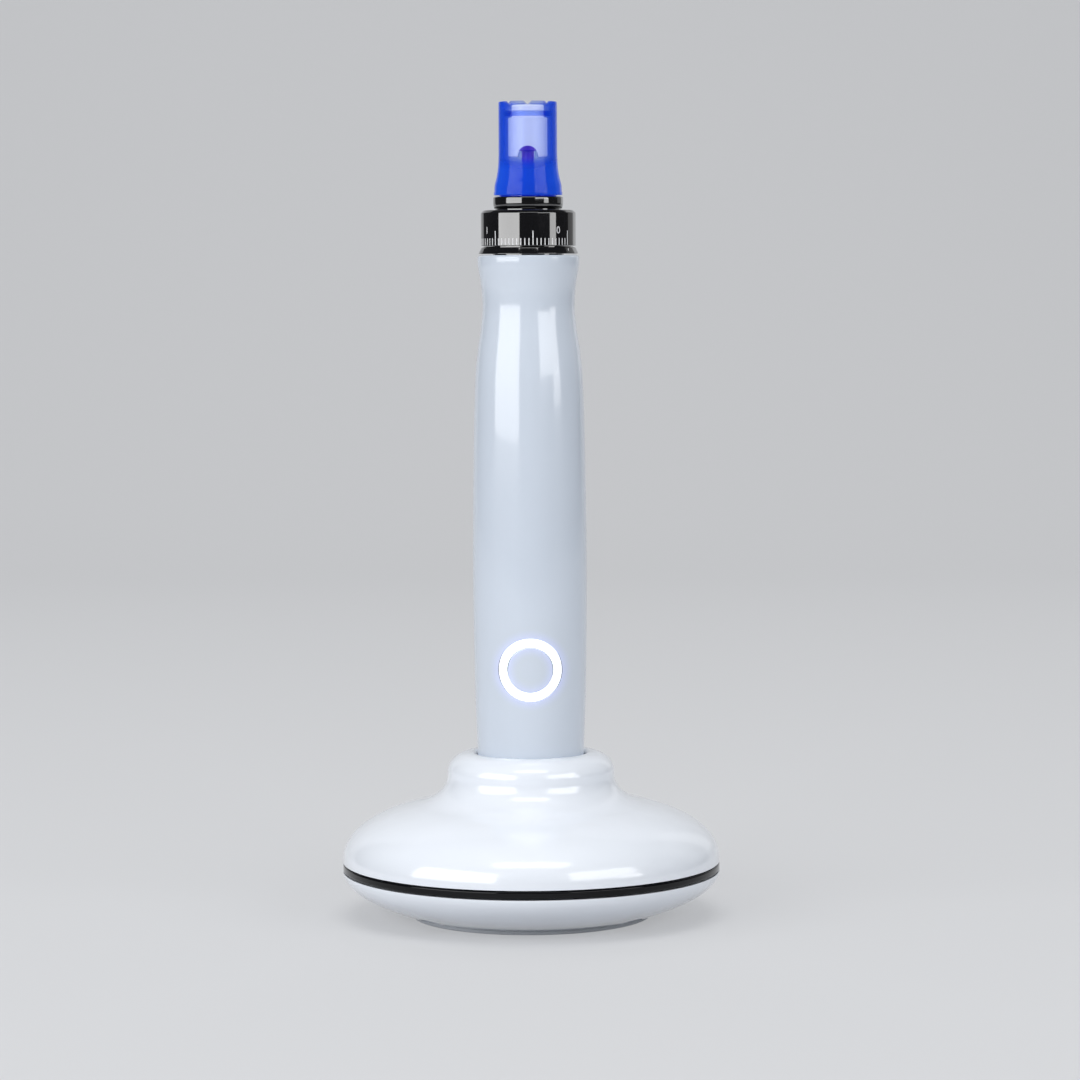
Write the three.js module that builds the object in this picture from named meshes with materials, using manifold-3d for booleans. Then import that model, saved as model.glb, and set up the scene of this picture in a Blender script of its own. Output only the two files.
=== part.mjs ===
// Microneedling pen standing in its charging dock. Millimetres, +Z up, front towards -Y.
// The origin is the centre of the dock's foot on the surface that it stands on.

import * as THREE from 'three';
import { mergeVertices } from 'three/addons/utils/BufferGeometryUtils.js';
import Module from 'manifold-3d';

const wasm = await Module();
wasm.setup();

// Driving dimensions

const gap = 0.3;             // running gap between neighbouring pieces
const wellGap = 0.4;         // play of the pen in the dock's well
const buttonGap = 0.25;      // play of the button and its light ring
const overrun = 1;           // how far a cutter passes the faces that it cuts
const faceOverlap = 0.5;     // how far joined features run into each other

const dock = {
  bandRadius: 47.4,          // widest radius, at the trim band
  plinthBottom: 0.5,         // underside of the lower shell above the surface
  plinthInset: 16.8,         // plinth's side behind the widest radius
  lowerDepth: 14.3,          // reach of the lower shell's curve below the band
  bandBottom: 11.8,
  bandHeight: 2.1,
  lensHeight: 17.15,         // crown of the upper shell above the band
  flareRadius: 29.1,         // where the crown turns up into the collar
  flareBulge: 23.9,
  collarRadius: 20.95,
  collarSide: 0.6,           // straight side of the collar under its rim
  flareEaseShare: 0.75,      // how far the flare runs straight, of the rim's drop
  rimTop: 41.4,
  rimWidth: 6.0,
  rimDrop: 4.9,
  wall: 2.2,
  wellWall: 1.8,
  wellFloorTop: 9.7,
  wellFloor: 1.8,
};
const foot = { inset: 0.4, width: 3.6, grooveDepth: 0.9 };
const ballast = { wellClearance: 2.6, inset: 0.6, height: 6 };
const board = { innerRadius: 18.2, inset: 7.9, aboveBand: 0.4, thickness: 1.6 };
const chip = { width: 5.4, depth: 6.4, height: 1.6 };
const coil = { radius: 3.2, height: 3.2 };
const post = { outsidePlinth: 3.6, radius: 3.3, screwRadius: 1.4, screwShort: 2.5 };
const screwHead = { radius: 2.8, height: 2, recess: 4.1 };
const inlet = {
  width: 8.9, height: 3.2, depth: 9, wall: 0.35, back: 1, tongueWidth: 6.7, tongueHeight: 0.7, setBack: 2.4,
};
const contact = { spacing: 4, padRadius: 1.6, padDepth: 2.5, stemRadius: 0.7, stemLength: 5.4 };
const pin = { radius: 0.9, travel: 0.6, length: 4.4, tip: 0.3 };
const contactBlock = { baseRadius: 8, neckRadius: 6, neckShort: 0.7 };
const lead = { radius: 0.9, bend: 2.5, outletHeight: 1.3 };

const handle = { length: 151.85, radius: 14.32, wall: 1.8, topChamfer: 0.25, topSeatDepth: 6 };
const tailCap = { height: 3.7, cornerRadius: 2, spigotLength: 3.8 };
const indexRing = { height: 1.65, topRadius: 12.0, bottomRadius: 12.5 };
const depthRing = { height: 8.9, radius: 11.85, chamfer: 0.7, pinRise: 3.1, counterbore: 1.4, turn: 245 };
const neck = {
  radius: 8.75, height: 3.05, sleeveRadius: 8.9, bore: 7.4, sleeveBelowHandleTop: 5.6,
  waistRadius: 8.2, flangeRadius: 10.2, flangeThickness: 0.9, edge: 1,
};
const neckNut = { outerRadius: 10.1, height: 4.3 };
const detentBall = { radius: 0.75, circle: 10.6, proud: 0.2, pocket: 1.35 };

const nose = {
  length: 23.15, rimRadius: 7.28, baseRadius: 8.45, wall: 1.1, notchDepth: 0.95,
  lipHeight: 0.8, lipProud: 0.1, shoulderBelowRim: 2.4, shoulderThickness: 1.2,
};
const guide = {
  bodyRadius: 4.85, neckRadius: 3.97, topBelowRim: 0.8, bodyLength: 9.6, bore: 2.9, archRadius: 2.6,
};
const plunger = { headRadius: 2.55, headHeight: 6, stemRadius: 1.55 };
const needles = {
  plateThickness: 1, length: 2.8, radius: 0.2, point: 0.95, circle: 1.5, innerCircle: 0.62, recess: 2,
};
const hub = { spigotWall: 1.6, discHeight: 2.4, towerRadius: 2.9, towerHeight: 3, sealGroove: 0.8 };
const seal = { squeeze: 0.15, proud: 0.075 };

const travel = { depth: 2.5, stroke: 2, button: 0.5 };
const carrier = {
  sleeveRadius: 7.1, sleeveBore: 5.8, sleeveAbovePin: 2, sleeveLength: 22, shoulder: 2,
  barrelRadius: 9.2, skirt: 2.4, throat: 5, crown: 1,
};
const follower = { radius: 0.8, sleeveEnd: 6.05, play: 0.36 };
const motor = {
  radius: 7.75, length: 25, belowBarrelTop: 10.6, boss: 0.5, bossRadius: 3, endCap: 1.9, tab: 0.8,
};
const cam = { shaftRadius: 1, radius: 6, height: 5.3, slope: 0.25, shaftBelow: 6 };
const rod = {
  radius: 1.5, flat: 0.35, flangeRadius: 4.4, flangeHeight: 1.3, footCircle: 3.5, footRadius: 0.8,
  footHeight: 1,
};
const bush = { height: 4, upperBelowTop: 1.2, seatAboveShoulder: 5 };
const spring = { wire: 0.4, turns: 4 };

const cell = { radius: 8.25, offset: 1.2, aboveHandle: 22, headroom: 2, capRadius: 3, capHeight: 1 };
const chassis = {
  radius: 10.5, aboveHandle: 5, bulkheadDrop: 8.2, bulkhead: 3, bulkheadBore: 4, shortOfBarrel: 7.7,
  slotHalf: 6.2,
};
const mainBoard = { front: 8.7, thickness: 1.2, halfWidth: 7.3, belowButton: 16.6, chipHalf: 2.9 };
const chipPlaceShares = [0.43, 0.7];
const button = { aboveHandle: 49.3, radius: 5.35, stemRadius: 1.5, stemLength: 1.1 };
const lightRing = { outerRadius: 7.8, backInset: 1.2 };
const led = { width: 1.2, thickness: 0.6 };
const tactSwitch = {
  halfWidth: 2.2, thickness: 1.6, bore: 1.3, boreDepth: 1.3, plungerRadius: 1, plunger: 1,
};

// Levels that follow from the driving dimensions

const bandTop = dock.bandBottom + dock.bandHeight;
const plinthRadius = dock.bandRadius - dock.plinthInset;
const footRadius = plinthRadius - foot.inset;
const postCircle = plinthRadius + post.outsidePlinth;
const penBase = dock.wellFloorTop + gap;
const handleBase = penBase + tailCap.height + gap;
const handleTop = handleBase + handle.length;
const indexRingBase = handleTop + gap;
const indexRingTop = indexRingBase + indexRing.height;
const depthRingBase = indexRingTop + gap;
const depthRingTop = depthRingBase + depthRing.height;
const neckBase = depthRingTop + gap;
const neckTop = neckBase + neck.height;
const noseBase = neckTop + gap;
const noseTop = noseBase + nose.length;
const pinHeight = depthRingBase + depthRing.pinRise;
const sleeveTop = pinHeight + carrier.sleeveAbovePin;
const shoulderHeight = sleeveTop - carrier.sleeveLength;
const barrelTop = shoulderHeight - carrier.shoulder;
const motorTop = barrelTop - motor.belowBarrelTop;
const barrelBottom = motorTop - motor.length - carrier.skirt;
const camBase = motorTop + motor.boss + gap;
const camTop = camBase + cam.height;
const footBottom = camTop + gap;
const flangeBottom = footBottom + rod.footHeight;
const flangeTop = flangeBottom + rod.flangeHeight;
const bushSeat = shoulderHeight + bush.seatAboveShoulder;
const spigotBottom = sleeveTop + travel.depth + gap;
const plateBase = noseTop - needles.recess - needles.length - needles.plateThickness;
const headTop = plateBase - gap;
const headBottom = headTop - plunger.headHeight;
const stemBottom = noseBase + gap;
const rodTop = stemBottom - gap;
const boardBottom = bandTop + board.aboveBand;
const boardTop = boardBottom + board.thickness;
const bulkheadBottom = barrelBottom - chassis.bulkheadDrop;
const cellBottom = handleBase + cell.aboveHandle;
const cellTop = bulkheadBottom - cell.headroom;
const buttonHeight = handleBase + button.aboveHandle;
const mainBoardTop = bulkheadBottom - gap;
const mainBoardBottom = buttonHeight - mainBoard.belowButton;

// Round counts of facets

const wideFacets = 32;
const middleFacets = 24;
const smallFacets = 16;
const tinyFacets = 8;
const notchFacets = 5;
const slotFacets = 5;
const needleFacets = 4;
const outerNeedles = 9;
const innerNeedles = 3;

// The handle's outline, from its lower end to its upper end

const handleOutlineShares = [
  [0, 0.869], [0.085, 0.905], [0.22, 0.953], [0.34, 0.985], [0.476, 1], [0.6, 0.99],
  [0.7, 0.972], [0.765, 0.954], [0.81, 0.931], [0.845, 0.8925], [0.88, 0.836], [0.915, 0.804],
  [0.94, 0.816], [0.965, 0.851], [0.988, 0.888], [1, 0.8885],
];
const handleInsideShares = [0, 0.22, 0.476, 0.765, 0.845, 0.915];

/** Outer radius of the handle at a height, read between the outline's points. */
function handleRadiusAt(height) {
  const share = THREE.MathUtils.clamp((height - handleBase) / handle.length, 0, 1);
  const next = Math.max(1, handleOutlineShares.findIndex(([at]) => at >= share));
  const [lowAt, lowRadius] = handleOutlineShares[next - 1];
  const [highAt, highRadius] = handleOutlineShares[next];
  const mix = (share - lowAt) / (highAt - lowAt);
  return handle.radius * THREE.MathUtils.lerp(lowRadius, highRadius, mix);
}

/** The handle's outline points [radius, height] between two heights, both ends included. */
function handleOutline(from, to) {
  const inner = handleOutlineShares
    .map(([at]) => handleBase + at * handle.length)
    .filter((height) => height > from + gap && height < to - gap);
  return [from, ...inner, to].map((height) => [handleRadiusAt(height), height]);
}

// Solid building helpers

/** Merged position-only copy of a geometry without collapsed triangles. */
function cleaned(geometry) {
  const bare = geometry.clone();
  for (const name of Object.keys(bare.attributes)) {
    if (name !== 'position') bare.deleteAttribute(name);
  }
  const merged = mergeVertices(bare);
  const corners = merged.index.array;
  const kept = [];
  for (let i = 0; i < corners.length; i += 3) {
    const [a, b, c] = [corners[i], corners[i + 1], corners[i + 2]];
    if (a !== b && b !== c && c !== a) kept.push(a, b, c);
  }
  merged.setIndex(kept);
  return merged;
}

/** Manifold solid of a closed geometry. */
function solid(geometry) {
  const merged = cleaned(geometry);
  return new wasm.Manifold(new wasm.Mesh({
    numProp: 3,
    vertProperties: new Float32Array(merged.attributes.position.array),
    triVerts: new Uint32Array(merged.index.array),
  }));
}

/** Geometry of a manifold solid. */
function geometryOf(body) {
  const mesh = body.getMesh();
  const geometry = new THREE.BufferGeometry();
  geometry.setAttribute('position', new THREE.BufferAttribute(new Float32Array(mesh.vertProperties), 3));
  geometry.setIndex(new THREE.BufferAttribute(new Uint32Array(mesh.triVerts), 1));
  return geometry;
}

/** Base geometry with others joined to it and others cut from it. */
function combined(base, { joins = [], cuts = [] }) {
  let body = solid(base);
  for (const part of joins) body = body.add(solid(part));
  for (const part of cuts) body = body.subtract(solid(part));
  return geometryOf(body);
}

/** Common volume of two geometries. */
function common(first, second) {
  return geometryOf(solid(first).intersect(solid(second)));
}

/** Solid of revolution about Z from [radius, height] points, closed on itself or on the axis. */
function revolve(outline, facets) {
  const points = outline.map(([radius, height]) => new THREE.Vector2(radius, height));
  const onAxis = points[0].x === 0 && points[points.length - 1].x === 0;
  if (THREE.ShapeUtils.area(points) < 0) points.reverse();
  if (!onAxis) points.push(points[0].clone());
  return new THREE.LatheGeometry(points, facets).rotateX(Math.PI / 2);
}

/** Ring between two radii and two heights. */
function ring(inner, outer, bottom, top, facets) {
  return revolve([[inner, bottom], [outer, bottom], [outer, top], [inner, top]], facets);
}

/** Upright cylinder. */
function disc(radius, bottom, top, facets) {
  return revolve([[0, bottom], [radius, bottom], [radius, top], [0, top]], facets);
}

/** Box between two corners. */
function block([x0, y0, z0], [x1, y1, z1]) {
  return new THREE.BoxGeometry(x1 - x0, y1 - y0, z1 - z0)
    .translate((x0 + x1) / 2, (y0 + y1) / 2, (z0 + z1) / 2);
}

/** Upright prism of a flat shape. */
function prism(shape, bottom, top, curveSegments = smallFacets) {
  return new THREE.ExtrudeGeometry(shape, { depth: top - bottom, bevelEnabled: false, curveSegments })
    .translate(0, 0, bottom);
}

/** Turns a piece built upright about Z to lie along Y, its base at the front, and lifts it to a height. */
function facingFront(geometry, height) {
  return geometry.rotateX(Math.PI / 2).translate(0, 0, height);
}

/** Points of an elliptic quarter, from one end to the other. */
function quarter([fromX, fromY], [toX, toY], steps, startsFlat) {
  return Array.from({ length: steps + 1 }, (_, i) => {
    const angle = (Math.PI / 2) * (i / steps);
    const flat = [Math.sin(angle), 1 - Math.cos(angle)];
    const [along, across] = startsFlat ? flat : flat.reverse();
    return [fromX + (toX - fromX) * along, fromY + (toY - fromY) * across];
  });
}

const model = new THREE.Group();

/** Adds one named piece with its own material to the model. */
function addPiece(name, geometry, color, roughness, metalness, extra = {}) {
  const material = new THREE.MeshStandardMaterial({ color, roughness, metalness, ...extra });
  const mesh = new THREE.Mesh(geometry, material);
  mesh.name = name;
  model.add(mesh);
  return mesh;
}

// Colours

const white = 0xeef1f6;
const black = 0x0a0a0c;
const rubber = 0x1b1b1d;
const steel = 0xb4b7bb;
const gold = 0xd8b45a;
const circuitGreen = 0x1f5a3c;
const noseBlue = 0x2348dc;
const glow = 0xe6ecff;

// Dock shells

const lensPower = 2.29;       // roundness of the upper shell's curve
const lowerPower = 1.86;      // roundness of the lower shell's curve

/** Height of the upper shell's crown over a radius, for a surface set in by an inset. */
function crownHeight(radius, inset) {
  const share = Math.min(radius / (dock.bandRadius - inset), 1);
  return bandTop + (dock.lensHeight - inset) * (1 - share ** lensPower) ** (1 / lensPower);
}

/** Outline points of the crown from one radius out to another. */
function crown(from, to, inset, steps) {
  return Array.from({ length: steps + 1 }, (_, i) => {
    const radius = from + (to - from) * Math.sin((Math.PI / 2) * (i / steps));
    return [radius, crownHeight(radius, inset)];
  });
}

/** Height of the lower shell's curve at a radius, for a surface set in by an inset. */
function lowerHeight(radius, inset) {
  const share = Math.min(radius / (dock.bandRadius - inset), 1);
  const drop = (dock.lowerDepth - inset) * (1 - share ** lowerPower) ** (1 / lowerPower);
  return dock.bandBottom - gap - drop;
}

/** Outline points of the lower shell's curve from a radius out to the band. */
function lowerCurve(from, inset, steps) {
  const outer = dock.bandRadius - inset;
  return Array.from({ length: steps + 1 }, (_, i) => {
    const radius = from + (outer - from) * Math.sin((Math.PI / 2) * (i / steps));
    return [radius, lowerHeight(radius, inset)];
  });
}

/** Four places on the post circle, each with its angle. */
function postPlaces() {
  return [1, 3, 5, 7].map((eighth) => {
    const angle = (Math.PI / 4) * eighth;
    return { x: postCircle * Math.cos(angle), y: postCircle * Math.sin(angle), rear: Math.sin(angle) > 0 };
  });
}

const wellRadiusAt = (height) => handleRadiusAt(height) + wellGap;
const ballastBottom = dock.plinthBottom + dock.wall + gap;
const ballastInner = wellRadiusAt(handleBase) + dock.wellWall + ballast.wellClearance;
const postTop = crownHeight(postCircle, dock.wall);
const screwTop = postTop - post.screwShort;
const recessTop = lowerHeight(postCircle, 0) + screwHead.recess;

function topShell() {
  const wellBottom = dock.wellFloorTop - dock.wellFloor;
  const collarTop = dock.rimTop - dock.rimDrop;
  const flareCurve = new THREE.CubicBezierCurve(
    new THREE.Vector2(dock.collarRadius, collarTop - dock.collarSide),
    new THREE.Vector2(dock.collarRadius, collarTop - dock.collarSide - dock.rimDrop * dock.flareEaseShare),
    new THREE.Vector2(dock.flareBulge, crownHeight(dock.flareRadius, 0) + dock.wall / 2),
    new THREE.Vector2(dock.flareRadius, crownHeight(dock.flareRadius, 0)),
  );
  const crest = dock.collarRadius - dock.rimWidth;
  const mouth = wellRadiusAt(dock.rimTop);
  const rimFoot = dock.rimTop - (crest - mouth);
  const rimInside = quarter([mouth, rimFoot], [crest, dock.rimTop], 2, false);
  const rimOutside = quarter([crest, dock.rimTop], [dock.collarRadius, collarTop], 3, true);
  const flare = flareCurve.getPoints(4).map((point) => [point.x, point.y]);
  const outside = crown(dock.flareRadius, dock.bandRadius, 0, 5).slice(1);
  const inside = crown(dock.collarRadius, dock.bandRadius - dock.wall, dock.wall, 4).reverse();
  const wellOuter = wellRadiusAt(dock.rimTop) + dock.wellWall;
  const outline = [
    [contactBlock.neckRadius + gap, wellBottom],
    [contactBlock.neckRadius + gap, dock.wellFloorTop],
    [wellRadiusAt(handleBase), dock.wellFloorTop],
    ...handleOutline(handleBase, rimFoot).slice(1, -1).map(([r, z]) => [r + wellGap, z]),
    ...rimInside, ...rimOutside.slice(1), ...flare, ...outside, ...inside,
    [wellOuter, crownHeight(wellOuter, dock.wall)],
    [wellRadiusAt(handleBase) + dock.wellWall, wellBottom],
  ];
  const shell = revolve(outline, wideFacets);
  const joins = postPlaces().map(({ x, y, rear }) => disc(
    post.radius, (rear ? boardTop : boardBottom) + gap, postTop + faceOverlap, tinyFacets,
  ).translate(x, y, 0));
  const bores = postPlaces().map(({ x, y }) => disc(
    post.screwRadius + gap, boardBottom - overrun, screwTop + gap, tinyFacets,
  ).translate(x, y, 0));
  const slot = facingFront(prism(
    roundedSlot(inlet.width + 2 * gap, inlet.height + 2 * gap), -dock.bandRadius - overrun, -postCircle,
  ), inletHeight);
  return combined(shell, { joins, cuts: [...bores, slot] });
}

/** Slot outline with round ends, centred on the origin. */
function roundedSlot(width, height) {
  const half = (width - height) / 2;
  const shape = new THREE.Shape();
  shape.absarc(half, 0, height / 2, -Math.PI / 2, Math.PI / 2);
  shape.absarc(-half, 0, height / 2, Math.PI / 2, 1.5 * Math.PI);
  shape.closePath();
  return shape;
}

const inletHeight = boardTop + gap + inlet.height / 2;

function bottomShell() {
  const floorTop = dock.plinthBottom + dock.wall;
  const outside = lowerCurve(plinthRadius + gap, 0, 5).reverse();
  const inside = lowerCurve(plinthRadius, dock.wall, 3);
  const footInner = footRadius - foot.width;
  const grooveTop = dock.plinthBottom + foot.grooveDepth;
  const outline = [
    [0, floorTop], [plinthRadius - dock.wall, floorTop], ...inside, ...outside,
    [plinthRadius, dock.plinthBottom], [footRadius + gap, dock.plinthBottom],
    [footRadius + gap, grooveTop], [footInner - gap, grooveTop],
    [footInner - gap, dock.plinthBottom], [0, dock.plinthBottom],
  ];
  const joins = postPlaces().map(({ x, y, rear }) => disc(
    post.radius, recessTop - overrun, boardBottom - (rear ? gap : 0), tinyFacets,
  ).translate(x, y, 0));
  const wellRadius = screwHead.radius + gap + dock.wall / 2;
  const wells = postPlaces().map(({ x, y }) => disc(
    wellRadius, lowerHeight(postCircle + wellRadius, 0) + gap, recessTop + dock.wall / 2, tinyFacets,
  ).translate(x, y, 0));
  const recesses = postPlaces().map(({ x, y }) => disc(
    screwHead.radius + gap, 0, recessTop, tinyFacets,
  ).translate(x, y, 0));
  const bores = postPlaces().map(({ x, y }) => disc(
    post.screwRadius + gap, 0, boardBottom + overrun, tinyFacets,
  ).translate(x, y, 0));
  const shell = revolve(outline, wideFacets);
  return combined(shell, { joins: [...joins, ...wells], cuts: [...recesses, ...bores] });
}

function trimRing() {
  const inner = dock.bandRadius - dock.wall;
  return revolve([
    [inner, dock.bandBottom], [dock.bandRadius, dock.bandBottom],
    [dock.bandRadius, bandTop - gap], [inner, bandTop - gap],
  ], wideFacets);
}

function footRing() {
  const inner = footRadius - foot.width;
  const top = dock.plinthBottom + foot.grooveDepth - gap;
  return revolve([
    [inner, 0], [footRadius - gap, 0], [footRadius, gap], [footRadius, top], [inner, top],
  ], wideFacets);
}

// Dock inner parts

function ballastRing() {
  const outer = plinthRadius - dock.wall - ballast.inset;
  return ring(ballastInner, outer, ballastBottom, ballastBottom + ballast.height, smallFacets);
}

/** Curved circuit board round the rear half of the well, resting on the two rear posts. */
function dockBoard() {
  const from = Math.PI / 12;
  const shape = new THREE.Shape();
  shape.absarc(0, 0, (dock.bandRadius - board.inset), from, Math.PI - from);
  shape.absarc(0, 0, board.innerRadius, Math.PI - from, from, true);
  shape.closePath();
  for (const { x, y } of postPlaces().filter(({ rear }) => rear)) {
    shape.holes.push(new THREE.Path().absarc(x, y, post.screwRadius + gap, 0, 2 * Math.PI, true));
  }
  const plate = prism(shape, boardBottom, boardTop, tinyFacets);
  const inner = board.innerRadius + chip.height;
  const driverChip = block(
    [inlet.width, inner, boardTop - faceOverlap],
    [inlet.width + chip.width, inner + chip.depth, boardTop + chip.height],
  );
  const inductor = disc(coil.radius, boardTop - faceOverlap, boardTop + coil.height, tinyFacets)
    .translate(-inlet.width - coil.radius, inner + coil.radius, 0);
  return combined(plate, { joins: [driverChip, inductor] });
}

/** Slim oval socket with its centre tongue, open to the rear. */
function powerInlet() {
  const outer = roundedSlot(inlet.width, inlet.height);
  const cavity = roundedSlot(inlet.width - 2 * inlet.wall, inlet.height - 2 * inlet.wall);
  const can = prism(outer, 0, inlet.depth, slotFacets);
  const hollow = prism(cavity, inlet.back, inlet.depth + overrun, slotFacets);
  const tongue = block(
    [-inlet.tongueWidth / 2, -inlet.tongueHeight / 2, inlet.wall],
    [inlet.tongueWidth / 2, inlet.tongueHeight / 2, inlet.depth - inlet.back],
  );
  const socket = geometryOf(solid(can).subtract(solid(hollow)).add(solid(tongue)));
  const back = dock.bandRadius - inlet.setBack - inlet.depth;
  return socket.rotateX(-Math.PI / 2).translate(0, back, inletHeight);
}

function chargeBlock() {
  const bottom = ballastBottom;
  const wellBottom = dock.wellFloorTop - dock.wellFloor;
  const neckTopLevel = dock.wellFloorTop - contactBlock.neckShort;
  const body = revolve([
    [0, bottom], [contactBlock.baseRadius, bottom], [contactBlock.baseRadius, wellBottom - gap],
    [contactBlock.neckRadius, wellBottom - gap], [contactBlock.neckRadius, neckTopLevel], [0, neckTopLevel],
  ], smallFacets);
  const boreBottom = dock.wellFloorTop - pin.length - pin.travel - gap;
  const bores = [-1, 1].map((side) => disc(
    pin.radius + gap, boreBottom, neckTopLevel + overrun, tinyFacets,
  ).translate(side * contact.spacing, 0, 0));
  return combined(body, { cuts: bores });
}

function chargePin(side) {
  const bottom = dock.wellFloorTop - pin.length;
  return revolve([
    [0, bottom], [pin.radius, bottom], [pin.radius, dock.wellFloorTop - pin.tip],
    [pin.radius - pin.tip, dock.wellFloorTop], [0, dock.wellFloorTop],
  ], tinyFacets).translate(side * contact.spacing, 0, 0);
}

/** Lead from the side of the contact block up to the underside of the dock's board. */
function chargeLead() {
  const low = ballastBottom + lead.outletHeight;
  const start = contactBlock.baseRadius + gap;
  const climb = (wellRadiusAt(handleBase) + dock.wellWall + ballastInner) / 2;
  const end = board.innerRadius + lead.radius + gap;
  const path = new THREE.CatmullRomCurve3([
    new THREE.Vector3(0, start, low),
    new THREE.Vector3(0, climb - lead.bend, low),
    new THREE.Vector3(0, climb, low + lead.bend),
    new THREE.Vector3(0, climb, ballastBottom + ballast.height),
    new THREE.Vector3(0, end, boardBottom - lead.radius),
    new THREE.Vector3(0, end, boardBottom - gap),
  ]);
  const section = new THREE.Shape().absarc(0, 0, lead.radius, 0, 2 * Math.PI);
  return new THREE.ExtrudeGeometry(section, {
    steps: 10, curveSegments: 4, bevelEnabled: false, extrudePath: path,
  });
}

function dockScrew({ x, y }) {
  const headTopLevel = recessTop - gap;
  const headBottomLevel = headTopLevel - screwHead.height;
  return revolve([
    [0, headBottomLevel], [screwHead.radius, headBottomLevel], [screwHead.radius, headTopLevel],
    [post.screwRadius, headTopLevel], [post.screwRadius, screwTop], [0, screwTop],
  ], tinyFacets).translate(x, y, 0);
}

// Pen body

/** Solid inside of the handle's outer skin, for faces that follow it. */
function handleCore() {
  return revolve([[0, handleBase], ...handleOutline(handleBase, handleTop), [0, handleTop]], wideFacets);
}

function handleShell() {
  const seatRadius = neckNut.outerRadius + gap;
  const seatBottom = handleTop - handle.topSeatDepth;
  const outer = handleOutline(handleBase, handleTop - handle.topChamfer);
  const inner = handleInsideShares
    .map((share) => handleBase + share * handle.length)
    .map((height) => [handleRadiusAt(height) - handle.wall, height]);
  const outline = [
    ...outer, [handleRadiusAt(handleTop) - handle.topChamfer, handleTop], [seatRadius, handleTop],
    [seatRadius, seatBottom], [handleRadiusAt(seatBottom) - handle.wall, seatBottom], ...inner.reverse(),
  ];
  const shell = revolve(outline, wideFacets);
  const hole = facingFront(disc(
    lightRing.outerRadius + buttonGap, cell.radius / 2, handle.radius + overrun, smallFacets,
  ), buttonHeight);
  return combined(shell, { cuts: [hole] });
}

function tailPlug() {
  const spigot = handleRadiusAt(handleBase) - handle.wall - gap;
  const edge = handleRadiusAt(handleBase);
  const top = penBase + tailCap.height;
  const flatEdge = edge - tailCap.cornerRadius;
  const corner = quarter([flatEdge, penBase], [edge, penBase + tailCap.cornerRadius], 3, true);
  const body = revolve([
    [0, penBase], ...corner, [edge, top], [spigot, top], [spigot, top + tailCap.spigotLength],
    [0, top + tailCap.spigotLength],
  ], middleFacets);
  const holes = [-1, 1].flatMap((side) => [
    disc(contact.padRadius + gap, penBase - overrun, penBase + contact.padDepth + gap, tinyFacets),
    disc(contact.stemRadius + gap, penBase, top + tailCap.spigotLength + overrun, tinyFacets),
  ].map((hole) => hole.translate(side * contact.spacing, 0, 0)));
  return combined(body, { cuts: holes });
}

function chargeContact(side) {
  const padTop = penBase + contact.padDepth;
  return revolve([
    [0, penBase], [contact.padRadius, penBase], [contact.padRadius, padTop], [contact.stemRadius, padTop],
    [contact.stemRadius, padTop + contact.stemLength], [0, padTop + contact.stemLength],
  ], tinyFacets).translate(side * contact.spacing, 0, 0);
}

/** Inner frame: an open cradle for the cell below a guide tube for the sliding motor carrier. */
function chassisFrame() {
  const front = mainBoard.front - mainBoard.thickness - gap;
  const cellBore = cell.radius + gap;
  const outerAngle = Math.asin(front / chassis.radius);
  const slotDepth = Math.sqrt(cellBore ** 2 - chassis.slotHalf ** 2);
  const innerAngle = Math.atan2(slotDepth, chassis.slotHalf);
  const shape = new THREE.Shape();
  shape.absarc(0, 0, chassis.radius, -outerAngle, Math.PI + outerAngle);
  shape.lineTo(-chassis.slotHalf, -front);
  shape.absarc(0, cell.offset, cellBore, Math.PI + innerAngle, -innerAngle, true);
  shape.lineTo(chassis.slotHalf, -front);
  shape.closePath();
  const cradle = prism(shape, handleBase + chassis.aboveHandle, bulkheadBottom + faceOverlap, tinyFacets);
  const guideBore = carrier.barrelRadius + gap;
  const guideTop = barrelTop - chassis.shortOfBarrel;
  const guideTube = revolve([
    [chassis.bulkheadBore, bulkheadBottom], [chassis.radius, bulkheadBottom],
    [chassis.radius, guideTop], [guideBore, guideTop],
    [guideBore, bulkheadBottom + chassis.bulkhead],
    [chassis.bulkheadBore, bulkheadBottom + chassis.bulkhead],
  ], smallFacets);
  return combined(cradle, { joins: [guideTube] });
}

function batteryCell() {
  return revolve([
    [0, cellBottom], [cell.radius, cellBottom], [cell.radius, cellTop - cell.capHeight],
    [cell.capRadius, cellTop - cell.capHeight], [cell.capRadius, cellTop], [0, cellTop],
  ], smallFacets).translate(0, cell.offset, 0);
}

function penBoard() {
  const back = mainBoard.front - mainBoard.thickness;
  const plate = block(
    [-mainBoard.halfWidth, -mainBoard.front, mainBoardBottom], [mainBoard.halfWidth, -back, mainBoardTop],
  );
  const half = mainBoard.chipHalf;
  const chips = chipPlaceShares.map((share) => {
    const centre = THREE.MathUtils.lerp(buttonHeight + tactSwitch.halfWidth, mainBoardTop, share);
    return block(
      [-half, -mainBoard.front - mainBoard.thickness, centre - half],
      [half, -mainBoard.front + faceOverlap, centre + half],
    );
  });
  return combined(plate, { joins: chips });
}

const switchBack = mainBoard.front + gap;
const switchFront = switchBack + tactSwitch.thickness;

function switchHousing() {
  const half = tactSwitch.halfWidth;
  const body = block(
    [-half, -switchFront, buttonHeight - half], [half, -switchBack, buttonHeight + half],
  );
  const bore = facingFront(disc(
    tactSwitch.bore, switchFront - tactSwitch.boreDepth, switchFront + overrun, tinyFacets,
  ), buttonHeight);
  return combined(body, { cuts: [bore] });
}

const switchPlungerBack = switchFront - tactSwitch.boreDepth + travel.button + gap / 2;
const switchPlungerFront = switchPlungerBack + tactSwitch.plunger;
const stemEnd = switchPlungerFront + gap;

function switchPlunger() {
  return facingFront(disc(
    tactSwitch.plungerRadius, switchPlungerBack, switchPlungerFront, tinyFacets,
  ), buttonHeight);
}

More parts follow.
